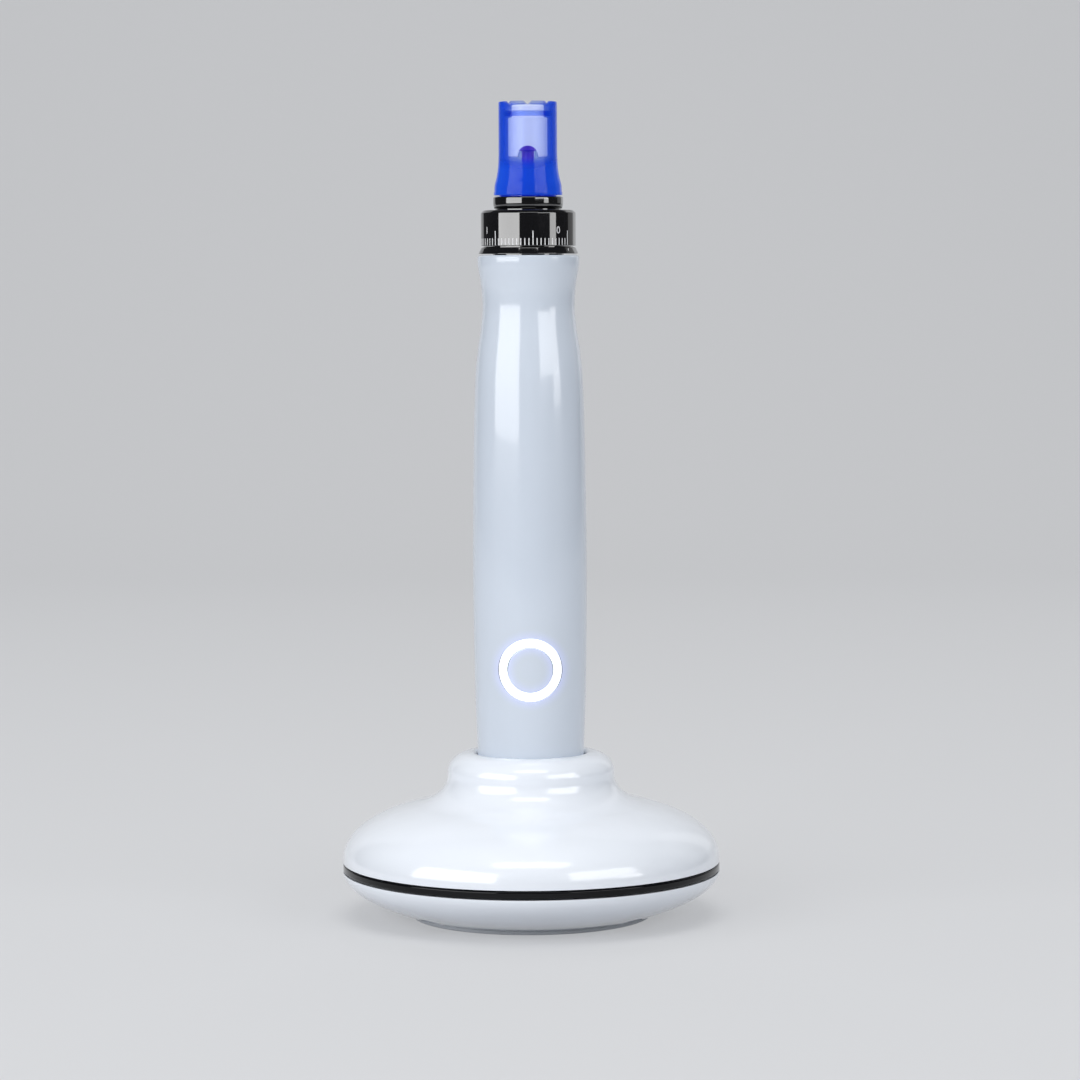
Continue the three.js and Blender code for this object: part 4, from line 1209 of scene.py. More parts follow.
@dataclass
class Dock(Assembly):
    """Lens-shaped dock with a collar round the pen's well, a trim band and a weighted foot."""

    WELL_STEPS: ClassVar[int] = 24
    MOUTH_STEPS: ClassVar[int] = 8
    RIM_STEPS: ClassVar[int] = 24
    FLARE_STEPS: ClassVar[int] = 28
    SKIN_STEPS: ClassVar[int] = 40
    ROOF_STEPS: ClassVar[int] = 16
    BOWL_STEPS: ClassVar[int] = 12
    PROBE: ClassVar[float] = 0.1 * MM     # step over which the crown's slope is taken

    form: HandleForm
    crown_rise: float = 17.15 * MM
    crown_power: float = 2.29
    belly_drop: float = 14.3 * MM
    belly_power: float = 1.86
    flare_radius: float = 29.1 * MM
    flare_bulge: float = 23.9 * MM
    collar_radius: float = 20.95 * MM
    collar_side: float = 0.6 * MM
    flare_ease: float = 0.75
    rim_width: float = 6.0 * MM
    rim_drop: float = 4.9 * MM
    wall: float = 2.2 * MM
    well_play: float = 0.4 * MM
    well_wall: float = 1.8 * MM
    well_mouth: float = 6.3 * MM
    well_corner: float = 0.8 * MM
    well_overlap: float = 1.1 * MM
    band_edge: float = 0.45 * MM
    foot_width: float = 3.6 * MM
    plinth_margin: float = 0.4 * MM
    groove_depth: float = 0.9 * MM
    lip_height: float = 0.15 * MM
    post_radius: float = 3.3 * MM
    post_root: float = 0.5 * MM
    post_circle: float = 34.2 * MM
    board_thickness: float = 1.6 * MM
    screw_bore: float = 1.7 * MM
    head_bore: float = 3.1 * MM
    recess_depth: float = 4.1 * MM
    head_radius: float = 2.8 * MM
    head_height: float = 2.0 * MM
    shank_radius: float = 1.4 * MM
    cross_arm: float = 1.6 * MM
    cross_width: float = 0.6 * MM
    cross_depth: float = 1.2 * MM
    inlet_wall: float = 0.35 * MM
    inlet_back: float = 1.0 * MM
    tongue_width: float = 6.7 * MM
    tongue_height: float = 0.7 * MM
    tongue_edge: float = 0.12 * MM
    block_radius: float = 8.0 * MM
    block_neck: float = 6.0 * MM
    block_neck_height: float = 1.4 * MM
    pin_sinking: float = 0.9 * MM

    def __post_init__(self) -> None:
        """Takes the dock's levels from the frame."""
        self.top_shell = Reach.of("dock_top_shell")
        self.band = Reach.of("trim_ring")
        self.foot = Reach.of("foot_ring")
        self.inlet = Reach.of("power_inlet")
        self.block = Reach.of("contact_block")
        self.board = Reach.of("dock_board")
        self.band_radius = self.band.radius
        self.crown_seam = self.band.top + GAP
        self.belly_seam = self.band.base - GAP
        self.plinth_bottom = Reach.of("dock_bottom_shell").base
        self.plinth_radius = self.foot.radius + self.plinth_margin
        self.well_floor = Reach.of("charge_pin_left").top
        self.posts = [on_circle(math.pi / 4 * eighth, self.post_circle) for eighth in (1, 3, 5, 7)]

    def build(self) -> None:
        """Builds and dresses the dock."""
        self._upper_shell()
        self._lower_shell()
        self._trim_and_foot()
        self._power_inlet()
        self._screws()
        self._contacts()
        self.dress_nodes(self.finishes.steel, "ballast_ring")
        self.dress_nodes(self.finishes.board, "dock_board")
        self.dress_nodes(self.finishes.black_plastic, "charge_lead")

    def _fall(self, radius: float, power: float, inset: float) -> float:
        """How far a shell stands from the band's level at a radius, as a share of its middle's."""
        share = min(radius / (self.band_radius - inset), 1.0)
        return (1 - share**power) ** (1 / power)

    def crown_at(self, radius: float, inset: float = 0.0) -> float:
        """Height of the upper shell's crown over a radius, some way inside the skin."""
        return self.crown_seam + (self.crown_rise - inset) * self._fall(radius, self.crown_power, inset)

    def belly_at(self, radius: float, inset: float = 0.0) -> float:
        """Height of the lower shell's curve at a radius, some way inside the skin."""
        return self.belly_seam - (self.belly_drop - inset) * self._fall(radius, self.belly_power, inset)

    @staticmethod
    def _eased(start: float, end: float, steps: int) -> list[float]:
        """Radii from one to another, closer together towards the last."""
        return [start + (end - start) * math.sin(angle) for angle in spread(0.0, QUARTER_TURN, steps)]

    def _flare(self) -> list[Point]:
        """Curve from the collar's side down and out onto the crown.

        Returns:
            Radius and height of each of its points.
        """
        side = self.top_shell.top - self.rim_drop - self.collar_side
        foot = self.crown_at(self.flare_radius)
        slope = (self.crown_at(self.flare_radius - self.PROBE) - foot) / self.PROBE
        points = (
            Vector((self.collar_radius, side)),
            Vector((self.collar_radius, side - self.rim_drop * self.flare_ease)),
            Vector((self.flare_bulge, foot + slope * (self.flare_radius - self.flare_bulge))),
            Vector((self.flare_radius, foot)),
        )
        found = []
        for t in spread(0.0, 1.0, self.FLARE_STEPS):
            weights = ((1 - t) ** 3, 3 * t * (1 - t) ** 2, 3 * t**2 * (1 - t), t**3)
            place = sum((point * weight for point, weight in zip(points, weights)), Vector((0.0, 0.0)))
            found.append((place.x, place.y))
        return found

    def _upper_outline(self) -> Outline:
        """Draws the upper shell from the mouth in the well's floor, over the rim and the crown.

        Returns:
            Its half outline, which ends with its inside.
        """
        well_bottom = self.block.top - self.well_overlap
        rim_top = self.top_shell.top
        foot_radius = self.form.radius_at(self.form.base) + self.well_play
        crest = self.collar_radius - self.rim_width
        mouth = self.form.radius_at(rim_top) + self.well_play
        rim_foot = rim_top - (crest - mouth)
        side = (self.collar_radius, rim_top - self.rim_drop)
        outer_well = mouth + self.well_wall
        crown = self._eased(self.flare_radius, self.band_radius, self.SKIN_STEPS)[1:]
        roof = self._eased(self.collar_radius, self.band_radius - self.wall, self.ROOF_STEPS)[::-1]
        return Outline(
            (self.well_mouth, well_bottom), (self.well_mouth, self.well_floor, SOFT),
            (foot_radius, self.well_floor, self.well_corner),
            *self.form.side(self.form.base, rim_foot, self.WELL_STEPS, -self.well_play)[1:-1],
            *quarter((mouth, rim_foot), (crest, rim_top), self.MOUTH_STEPS, False),
            *quarter((crest, rim_top), side, self.RIM_STEPS, True)[1:],
            *self._flare(),
            *((radius, self.crown_at(radius)) for radius in crown),
            *((radius, self.crown_at(radius, self.wall)) for radius in roof),
            (outer_well, self.crown_at(outer_well, self.wall)), (foot_radius + self.well_wall, well_bottom),
        )

    def _upper_shell(self) -> None:
        """Upper shell with the pen's well, the screw posts and the slot for the power inlet."""
        slot = slot_bar(
            self.inlet.radius * 2 + 2 * GAP, self.inlet.top - self.inlet.base + 2 * GAP,
            self.post_circle, self.band_radius + OVERRUN,
        )
        shell = cut(turn(self._upper_outline(), Facets.WIDE), move(slot, to_rear(self.inlet.centre.z)))
        post_top = self.crown_at(self.post_circle, self.wall) + self.post_root
        bore_top = Reach.of("dock_screw_1").top + GAP
        board_top = self.board.base + self.board_thickness
        posts = []
        for place in self.posts:
            low = (board_top if place.translation.y > 0 else self.board.base) + GAP
            post = Outline(
                (self.screw_bore, low, FINE), (self.post_radius, low, FINE), (self.post_radius, post_top),
                (0, post_top), (0, bore_top), (self.screw_bore, bore_top),
            )
            posts.append(move(turn(post, Facets.TINY), place))
        shell = join(shell, *posts)
        self.piece("dock_upper_shell", shell, Body.DOCK, self.finishes.dock_white, "dock_top_shell")

    def _lower_outline(self) -> Outline:
        """Draws the lower shell with the groove for the foot.

        Returns:
            Its half outline.
        """
        floor_top = self.plinth_bottom + self.wall
        foot_outer, foot_inner = self.foot.radius + GAP, self.foot.radius - self.foot_width - GAP
        groove_top = self.plinth_bottom + self.groove_depth
        lip = self.belly_at(self.plinth_radius + GAP) - self.lip_height
        inside = self._eased(self.plinth_radius, self.band_radius - self.wall, self.BOWL_STEPS)
        outside = self._eased(self.plinth_radius + GAP, self.band_radius, self.SKIN_STEPS)[::-1]
        return Outline(
            (0, floor_top), (self.plinth_radius - self.wall, floor_top),
            *((radius, self.belly_at(radius, self.wall)) for radius in inside),
            *((radius, self.belly_at(radius)) for radius in outside),
            (self.plinth_radius, lip), (foot_outer, lip), (foot_outer, groove_top),
            (foot_inner, groove_top), (foot_inner, self.plinth_bottom, SOFT), (0, self.plinth_bottom),
        )

    def _lower_shell(self) -> None:
        """Lower shell with its plinth, foot groove and four screw recesses."""
        recess_top = self.belly_at(self.post_circle) + self.recess_depth
        boss_radius = self.head_bore + self.wall / 2
        boss_low = self.belly_at(self.post_circle + boss_radius) + GAP
        step = recess_top + self.wall / 2
        bosses, ways = [], []
        for place in self.posts:
            top = self.board.base - (GAP if place.translation.y > 0 else 0.0)
            boss = rod(
                (boss_radius, boss_low), (boss_radius, step), (self.post_radius, step),
                (self.post_radius, top, FINE),
            )
            bosses.append(move(turn(boss, Facets.TINY), place))
            way = rod(
                (self.head_bore, 0), (self.head_bore, recess_top), (self.screw_bore, recess_top),
                (self.screw_bore, top + OVERRUN),
            )
            ways.append(move(turn(way, Facets.SMALL), place))
        shell = combine(turn(self._lower_outline(), Facets.WIDE), join(*bosses), "UNION")
        shell = cut(shell, join(*ways))
        self.piece("dock_lower_shell", shell, Body.DOCK, self.finishes.dock_white, "dock_bottom_shell")

    def _trim_and_foot(self) -> None:
        """Gloss band round the widest part, and the foot ring."""
        inner = self.band_radius - self.wall
        outline = Outline(
            (inner, self.band.base), (self.band_radius, self.band.base, self.band_edge),
            (self.band_radius, self.band.top, self.band_edge), (inner, self.band.top),
        )
        band = turn(outline, Facets.WIDE)
        self.piece("trim_band", band, Body.DOCK, self.finishes.band_black, "trim_ring")
        inner = self.foot.radius - self.foot_width
        outline = Outline(
            (inner, self.foot.base, ROUND), (self.foot.radius, self.foot.base, ROUND),
            (self.foot.radius, self.foot.top), (inner, self.foot.top),
        )
        foot = turn(outline, Facets.WIDE)
        self.piece("foot_pad", foot, Body.DOCK, self.finishes.pale_rubber, "foot_ring")

    def _power_inlet(self) -> None:
        """Oval power socket in the rear of the upper shell."""
        width, height = self.inlet.radius * 2, self.inlet.top - self.inlet.base
        depth = self.inlet.high.y - self.inlet.low.y
        can = slot_bar(width, height, 0, depth)
        rim = [edge for edge in can.edges if all(vert.co.z > depth - MERGE for vert in edge.verts)]
        bevel(can, rim, CRISP)
        cavity = slot_bar(
            width - 2 * self.inlet_wall, height - 2 * self.inlet_wall, self.inlet_back, depth + OVERRUN
        )
        half, thick = self.tongue_width / 2, self.tongue_height / 2
        tongue = box_between((-half, -thick, self.inlet_wall), (half, thick, depth - self.inlet_back))
        bevel(tongue, tongue.edges[:], self.tongue_edge)
        place = to_rear(self.inlet.centre.z, self.inlet.low.y)
        can, tongue = move(cut(can, cavity), place), move(tongue, place)
        self.piece("inlet_can", can, Body.DOCK, self.finishes.steel, "power_inlet")
        self.piece("inlet_tongue", tongue, Body.DOCK, self.finishes.black_plastic, "power_inlet")

    def _screws(self) -> None:
        """Four cross-head screws in the recesses of the lower shell."""
        reach = Reach.of("dock_screw_1")
        head_top = reach.base + self.head_height
        floor, mouth = reach.base + self.cross_depth, reach.base - OVERRUN
        arm, half_width = self.cross_arm, self.cross_width / 2
        outline = rod(
            (self.head_radius, reach.base, BLUNT), (self.head_radius, head_top, HAIR),
            (self.shank_radius, head_top, CRISP), (self.shank_radius, reach.top, ROUND),
        )
        for number, place in enumerate(self.posts, start=1):
            arms = (
                box_between((-arm, -half_width, mouth), (arm, half_width, floor)),
                box_between((-half_width, -arm, mouth), (half_width, arm, floor)),
            )
            screw = move(cut(turn(outline, Facets.SMALL), *arms), place)
            self.piece(f"case_screw_{number}", screw, Body.DOCK, self.finishes.steel, f"dock_screw_{number}")

    def _contacts(self) -> None:
        """Block at the foot of the well and its two sprung charging pins."""
        ledge = self.block.top - self.block_neck_height
        outline = rod(
            (self.block_radius, self.block.base), (self.block_radius, ledge), (self.block_neck, ledge),
            (self.block_neck, self.block.top, SOFT),
        )
        sides = {Body.LEFT_PIN: "charge_pin_left", Body.RIGHT_PIN: "charge_pin_right"}
        pins = {body: Reach.of(node) for body, node in sides.items()}
        bores = []
        for pin in pins.values():
            low, high = pin.base - self.pin_sinking, self.block.top + OVERRUN
            bores.append(move(cylinder(pin.radius + GAP, low, high, Facets.TINY), pin.aside))
        block = cut(turn(outline, Facets.SMALL), *bores)
        self.piece("pin_block", block, Body.DOCK, self.finishes.black_plastic, "contact_block")
        for body, pin in pins.items():
            outline = rod((pin.radius, pin.base, HAIR), (pin.radius, pin.top, BLUNT))
            shape = move(turn(outline, Facets.SMALL), pin.aside)
            self.piece(f"sprung_{sides[body]}", shape, body, self.finishes.gold, sides[body])


# The pen's body


@dataclass
class Handle(Assembly):
    """White handle shell with its tail cap, charging contacts, lit ring and what it holds."""

    SKIN_STEPS: ClassVar[int] = 150
    LINING_STEPS: ClassVar[int] = 48
    CORNER_STEPS: ClassVar[int] = 10
    RING_STEPS: ClassVar[int] = 6
    RING_CREASE: ClassVar[float] = 60.0

    form: HandleForm
    wall: float = 1.8 * MM
    top_edge: float = 0.45 * MM
    seat_radius: float = 10.4 * MM
    seat_depth: float = 6.0 * MM
    cap_corner: float = 2.0 * MM
    cap_height: float = 3.7 * MM
    pad_radius: float = 1.6 * MM
    pad_depth: float = 2.5 * MM
    pad_stem: float = 0.7 * MM
    ring_edge: float = 0.25 * MM
    ring_inset: float = 0.38 * MM
    hole_start: float = 4 * MM
    play: float = 0.15 * MM

    def __post_init__(self) -> None:
        """Takes the lit ring, the button and the cap from the frame."""
        self.ring = Reach.of("light_ring")
        self.cap = Reach.of("tail_cap")
        self.inner_ring = Reach.of("power_button").radius + self.ring_inset

    def build(self) -> None:
        """Builds and dresses the pen's body."""
        self._shell()
        self._tail_cap()
        self._lit_ring()
        self.dress_nodes(self.finishes.black_plastic, "chassis", "tact_switch")
        self.dress_nodes(self.finishes.cell_wrap, "battery_cell")
        self.dress_nodes(self.finishes.board, "main_board")
        self.dress_nodes(self.finishes.steel, "neck_nut")
        self.dress_nodes(self.finishes.lit_ring, "led_1", "led_2", "led_3", "led_4")

    def _shell(self) -> None:
        """Handle shell, open at both ends, with the hole for the lit ring."""
        low, high = self.form.base, self.form.top
        seat = high - self.seat_depth
        outline = Outline(
            *self.form.side(low, high - self.top_edge, self.SKIN_STEPS),
            (self.form.radius_at(high) - self.top_edge, high),
            (self.seat_radius, high, FINE), (self.seat_radius, seat),
            *self.form.side(low, seat, self.LINING_STEPS, self.wall)[::-1],
        )
        radius, end = self.ring.radius + self.play, self.form.widest + OVERRUN
        hole = move(cylinder(radius, self.hole_start, end, Facets.COLLAR), to_front(self.ring.centre.z))
        shell = cut(turn(outline, Facets.BODY), hole)
        self.piece("handle_skin", shell, Body.PEN, self.finishes.handle_white, "handle_shell")

    def _tail_cap(self) -> None:
        """Cap that closes the handle's foot, with the two contact pads in it."""
        edge = self.form.radius_at(self.form.base)
        base, top = self.cap.base, self.cap.base + self.cap_height
        spigot = edge - self.wall - GAP
        outline = Outline(
            (0, base),
            *quarter((edge - self.cap_corner, base), (edge, base + self.cap_corner), self.CORNER_STEPS, True),
            (edge, top, CRISP), (spigot, top), (spigot, self.cap.top, SOFT), (0, self.cap.top),
        )
        holes, pads = [], {}
        for side in ("left", "right"):
            reach = Reach.of(f"charge_contact_{side}")
            step = reach.base + self.pad_depth
            way = rod(
                (self.pad_radius + GAP, reach.base - OVERRUN), (self.pad_radius + GAP, step + GAP),
                (self.pad_stem + GAP, step + GAP), (self.pad_stem + GAP, self.cap.top + OVERRUN),
            )
            holes.append(move(turn(way, Facets.SMALL), reach.aside))
            pad = rod(
                (self.pad_radius, reach.base, SOFT), (self.pad_radius, step), (self.pad_stem, step),
                (self.pad_stem, reach.top, FINE),
            )
            pads[side] = move(turn(pad, Facets.SMALL), reach.aside)
        cap = cut(turn(outline, Facets.BODY), join(*holes))
        self.piece("handle_foot", cap, Body.PEN, self.finishes.foot_white, "tail_cap")
        for side, pad in pads.items():
            self.piece(f"contact_pad_{side}", pad, Body.PEN, self.finishes.gold, f"charge_contact_{side}")

    def _lit_ring(self) -> None:
        """Frosted ring round the button, flush with the handle's skin."""
        back = -self.ring.high.y
        depth = self.form.depth_at(0, self.ring.centre.z) - back
        face = spread(self.inner_ring, self.ring.radius, self.RING_STEPS)[1:-1]
        outline = Outline(
            (self.inner_ring, -depth), (self.inner_ring, 0, self.ring_edge),
            *((radius, 0.0) for radius in face),
            (self.ring.radius, 0, self.ring_edge), (self.ring.radius, -depth),
        )
        ring = self.form.press_on(turn(outline, Facets.COLLAR), self.ring.centre.z, back)
        self.piece("lit_ring", ring, Body.PEN, self.finishes.lit_ring, "light_ring", sharp=self.RING_CREASE)


@dataclass
class Button(Assembly):
    """Power button inside the lit ring, with the stem that works the switch."""

    FACE_STEPS: ClassVar[int] = 9

    form: HandleForm
    edge: float = 0.35 * MM
    widening: float = 0.22 * MM
    stem_radius: float = 1.5 * MM
    stem_length: float = 1.1 * MM

    def build(self) -> None:
        """Builds and dresses the button."""
        reach = Reach.of("power_button")
        back = -reach.high.y
        depth = self.form.depth_at(0, reach.centre.z) - back
        cap_depth = depth - self.stem_length
        rim = reach.radius + self.widening
        outline = Outline(
            (0, 0),
            *((radius, 0.0) for radius in spread(0.0, rim - self.edge, self.FACE_STEPS)[1:]),
            (rim, 0, self.edge), (rim, -cap_depth),
            (self.stem_radius, -cap_depth), (self.stem_radius, -depth, FINE), (0, -depth),
        )
        cap = self.form.press_on(turn(outline, Facets.COLLAR), reach.centre.z, back)
        self.piece("button_cap", cap, Body.BUTTON, self.finishes.button_white, "power_button")
        self.dress_nodes(self.finishes.black_plastic, "switch_plunger")


# The head of the pen


@dataclass
class Head(Assembly):
    """Index ring, depth dial with its printed scale, and the cartridge socket."""

    GROOVE_STEPS: ClassVar[int] = 72
    COLLAR_STEPS: ClassVar[int] = 8
    GROOVE_OVERRUN: ClassVar[float] = 1.4     # how far the groove passes its ends, by its radius
    TYPE_SIZE: ClassVar[float] = 1.4          # the type's size for a digit one high

    bore: float = 9.2 * MM
    index_lean: float = 0.75 * MM
    index_edge: float = 0.25 * MM
    index_margin: float = 0.35 * MM
    land_radius: float = 11.2 * MM
    land_height: float = 0.22 * MM
    ball_pocket: float = 1.35 * MM
    ball_radius: float = 0.75 * MM
    dial_chamfer: float = 0.7 * MM
    dial_counterbore: float = 1.4 * MM
    counter_radius: float = 10.5 * MM
    travel: float = 2.5 * MM
    turn_angle: float = math.radians(245)
    groove_radius: float = 1.16 * MM
    socket_bore: float = 7.4 * MM
    sleeve_radius: float = 8.9 * MM
    waist_radius: float = 8.2 * MM
    collar_radius: float = 8.75 * MM
    collar_edge: float = 1.5 * MM
    flange_thickness: float = 0.9 * MM
    follower_play: float = 1.1 * MM
    zero_angle: float = math.radians(54.8)
    tick_pitch: float = math.radians(4.9)
    tick_count: int = 50
    tick_foot: float = 0.2 * MM
    tick_width: float = 0.24 * MM
    short_tick: float = 1.7 * MM
    long_tick: float = 3.5 * MM
    ticks_to_long: int = 10
    ticks_to_digit: int = 20
    ink_proud: float = 0.02 * MM
    digits: str = "012"
    digit_height: float = 1.75 * MM
    digit_lead: float = math.radians(16)
    digit_level: float = 3.05 * MM

    def __post_init__(self) -> None:
        """Takes the rings from the frame."""
        self.index = Reach.of("index_ring")
        self.dial = Reach.of("depth_ring")
        self.neck = Reach.of("neck")
        self.pin = Reach.of("follower_pin")

    def build(self) -> None:
        """Builds and dresses the head."""
        self._index_ring()
        self._dial()
        self._scale()
        self._socket()
        self.dress_nodes(self.finishes.steel, "detent_ball")

    def _index_ring(self) -> None:
        """Fixed ring under the dial, with the pocket for the click ball."""
        low, high = self.index.base, self.index.top
        land = high + self.land_height
        outline = Outline(
            (self.bore, low), (self.index.radius, low, FINE),
            (self.index.radius - self.index_lean, high, self.index_edge),
            (self.land_radius, high), (self.land_radius, land), (self.bore, land),
        )
        pocket = cylinder(self.ball_radius + GAP, high - self.ball_pocket, high + OVERRUN, Facets.TINY)
        ring = cut(turn(outline, Facets.BODY), move(pocket, Reach.of("detent_ball").aside))
        self.piece("index_collar", ring, Body.PEN, self.finishes.black_gloss, "index_ring")
        low, high = low + self.index_margin, high - self.index_margin
        line = self._tick(self.zero_angle, low, high, self.index.radius - self.index_lean / 2)
        self.piece("index_line", line, Body.PEN, self.finishes.mark_ink)

    def _dial(self) -> None:
        """Depth dial with the helical groove that lifts the motor's carrier."""
        low, high = self.dial.base, self.dial.top
        ledge = high - self.dial_counterbore
        outline = Outline(
            (self.bore, low), (self.dial.radius, low, CRISP),
            (self.dial.radius, high - self.dial_chamfer, CRISP),
            (self.dial.radius - self.dial_chamfer, high, CRISP),
            (self.counter_radius, high, CRISP), (self.counter_radius, ledge), (self.bore, ledge),
        )
        dial = cut(turn(outline, Facets.BODY), self._groove())
        self.piece("dial_ring", dial, Body.DIAL, self.finishes.black_gloss, "depth_ring")

    def _groove(self) -> Mesh:
        """Cutter of the groove, which climbs as the angle falls from the follower.

        Returns:
            A round bar along the groove's helix.
        """
        ease = self.groove_radius * self.GROOVE_OVERRUN / (self.bore * self.turn_angle)
        height = self.pin.centre.z
        shares = spread(-ease, 1 + ease, self.GROOVE_STEPS)
        places = helix(self.bore, height, height + self.travel, -self.turn_angle, shares)
        return round_bar(places, self.groove_radius, Facets.BAR)

    def _tick(self, angle: float, low: float, high: float, radius: float) -> Mesh:
        """One line of ink on a ring.

        Args:
            angle: its place from the front towards +X.
            low: its lower end.
            high: its upper end.
            radius: the ring's radius there.

        Returns:
            The line.
        """
        half = self.tick_width / 2
        line = box_between((-half, -radius - self.ink_proud, low), (half, -radius + self.ink_proud, high))
        return move(line, Matrix.Rotation(angle, 4, "Z"))

    def _scale(self) -> None:
        """Ticks along the dial's lower edge, with a digit at each full millimetre."""
        foot = self.dial.base + self.tick_foot
        ticks = []
        for number in range(self.tick_count + 1):
            length = self.short_tick if number % self.ticks_to_long else self.long_tick
            angle = self.zero_angle - self.tick_pitch * number
            ticks.append(self._tick(angle, foot, foot + length, self.dial.radius))
        self.piece("dial_ticks", join(*ticks), Body.DIAL, self.finishes.mark_ink)
        for number, text in enumerate(self.digits):
            angle = self.zero_angle - self.tick_pitch * self.ticks_to_digit * number - self.digit_lead
            self.piece(f"dial_digit_{text}", self._digit(text, angle), Body.DIAL, self.finishes.mark_ink)

    def _digit(self, text: str, angle: float) -> Mesh:
        """A digit wrapped on the dial.

        Args:
            text: the digit.
            angle: its middle, from the front towards +X.

        Returns:
            Its mesh in place.
        """
        curve = bpy.data.curves.new("digit", "FONT")
        curve.body = text
        curve.size = self.digit_height * self.TYPE_SIZE
        curve.align_x = "CENTER"
        curve.extrude = self.ink_proud
        holder = bpy.data.objects.new("digit", curve)
        bpy.context.scene.collection.objects.link(holder)
        shape = settled(holder)
        bpy.data.objects.remove(holder)
        bpy.data.curves.remove(curve)
        bmesh.ops.remove_doubles(shape, verts=shape.verts, dist=MERGE)
        low = self.dial.base + self.digit_level
        for vert in shape.verts:
            across, rise, out = vert.co
            radius, place = self.dial.radius + out, angle + across / self.dial.radius
            vert.co = (radius * math.sin(place), -radius * math.cos(place), low + rise)
        bmesh.ops.recalc_face_normals(shape, faces=shape.faces)
        return shape

    def _socket(self) -> None:
        """Cartridge socket: a sleeve through the dial with a flange and a rounded collar."""
        low, top = self.neck.base, self.neck.top
        flange_low = self.dial.top - self.dial_counterbore + GAP
        flange_high = flange_low + self.flange_thickness
        waist = (self.waist_radius, self.dial.top + GAP)
        shoulder = (self.collar_radius, waist[1] + self.collar_edge)
        outline = Outline(
            (self.socket_bore, low), (self.sleeve_radius, low, FINE), (self.sleeve_radius, flange_low),
            (self.neck.radius, flange_low), (self.neck.radius, flange_high, HAIR),
            (self.waist_radius, flange_high), *quarter(waist, shoulder, self.COLLAR_STEPS, True),
            (self.collar_radius, top, ROUND), (self.socket_bore, top, FINE),
        )
        half, height = self.follower_play, self.pin.centre.z
        way = box_between(
            (-half, self.socket_bore - OVERRUN, height - half),
            (half, self.sleeve_radius + OVERRUN, height + self.travel + half),
        )
        socket = cut(turn(outline, Facets.COLLAR), way)
        self.piece("cartridge_socket", socket, Body.PEN, self.finishes.black_gloss, "neck")


# The needle cartridge


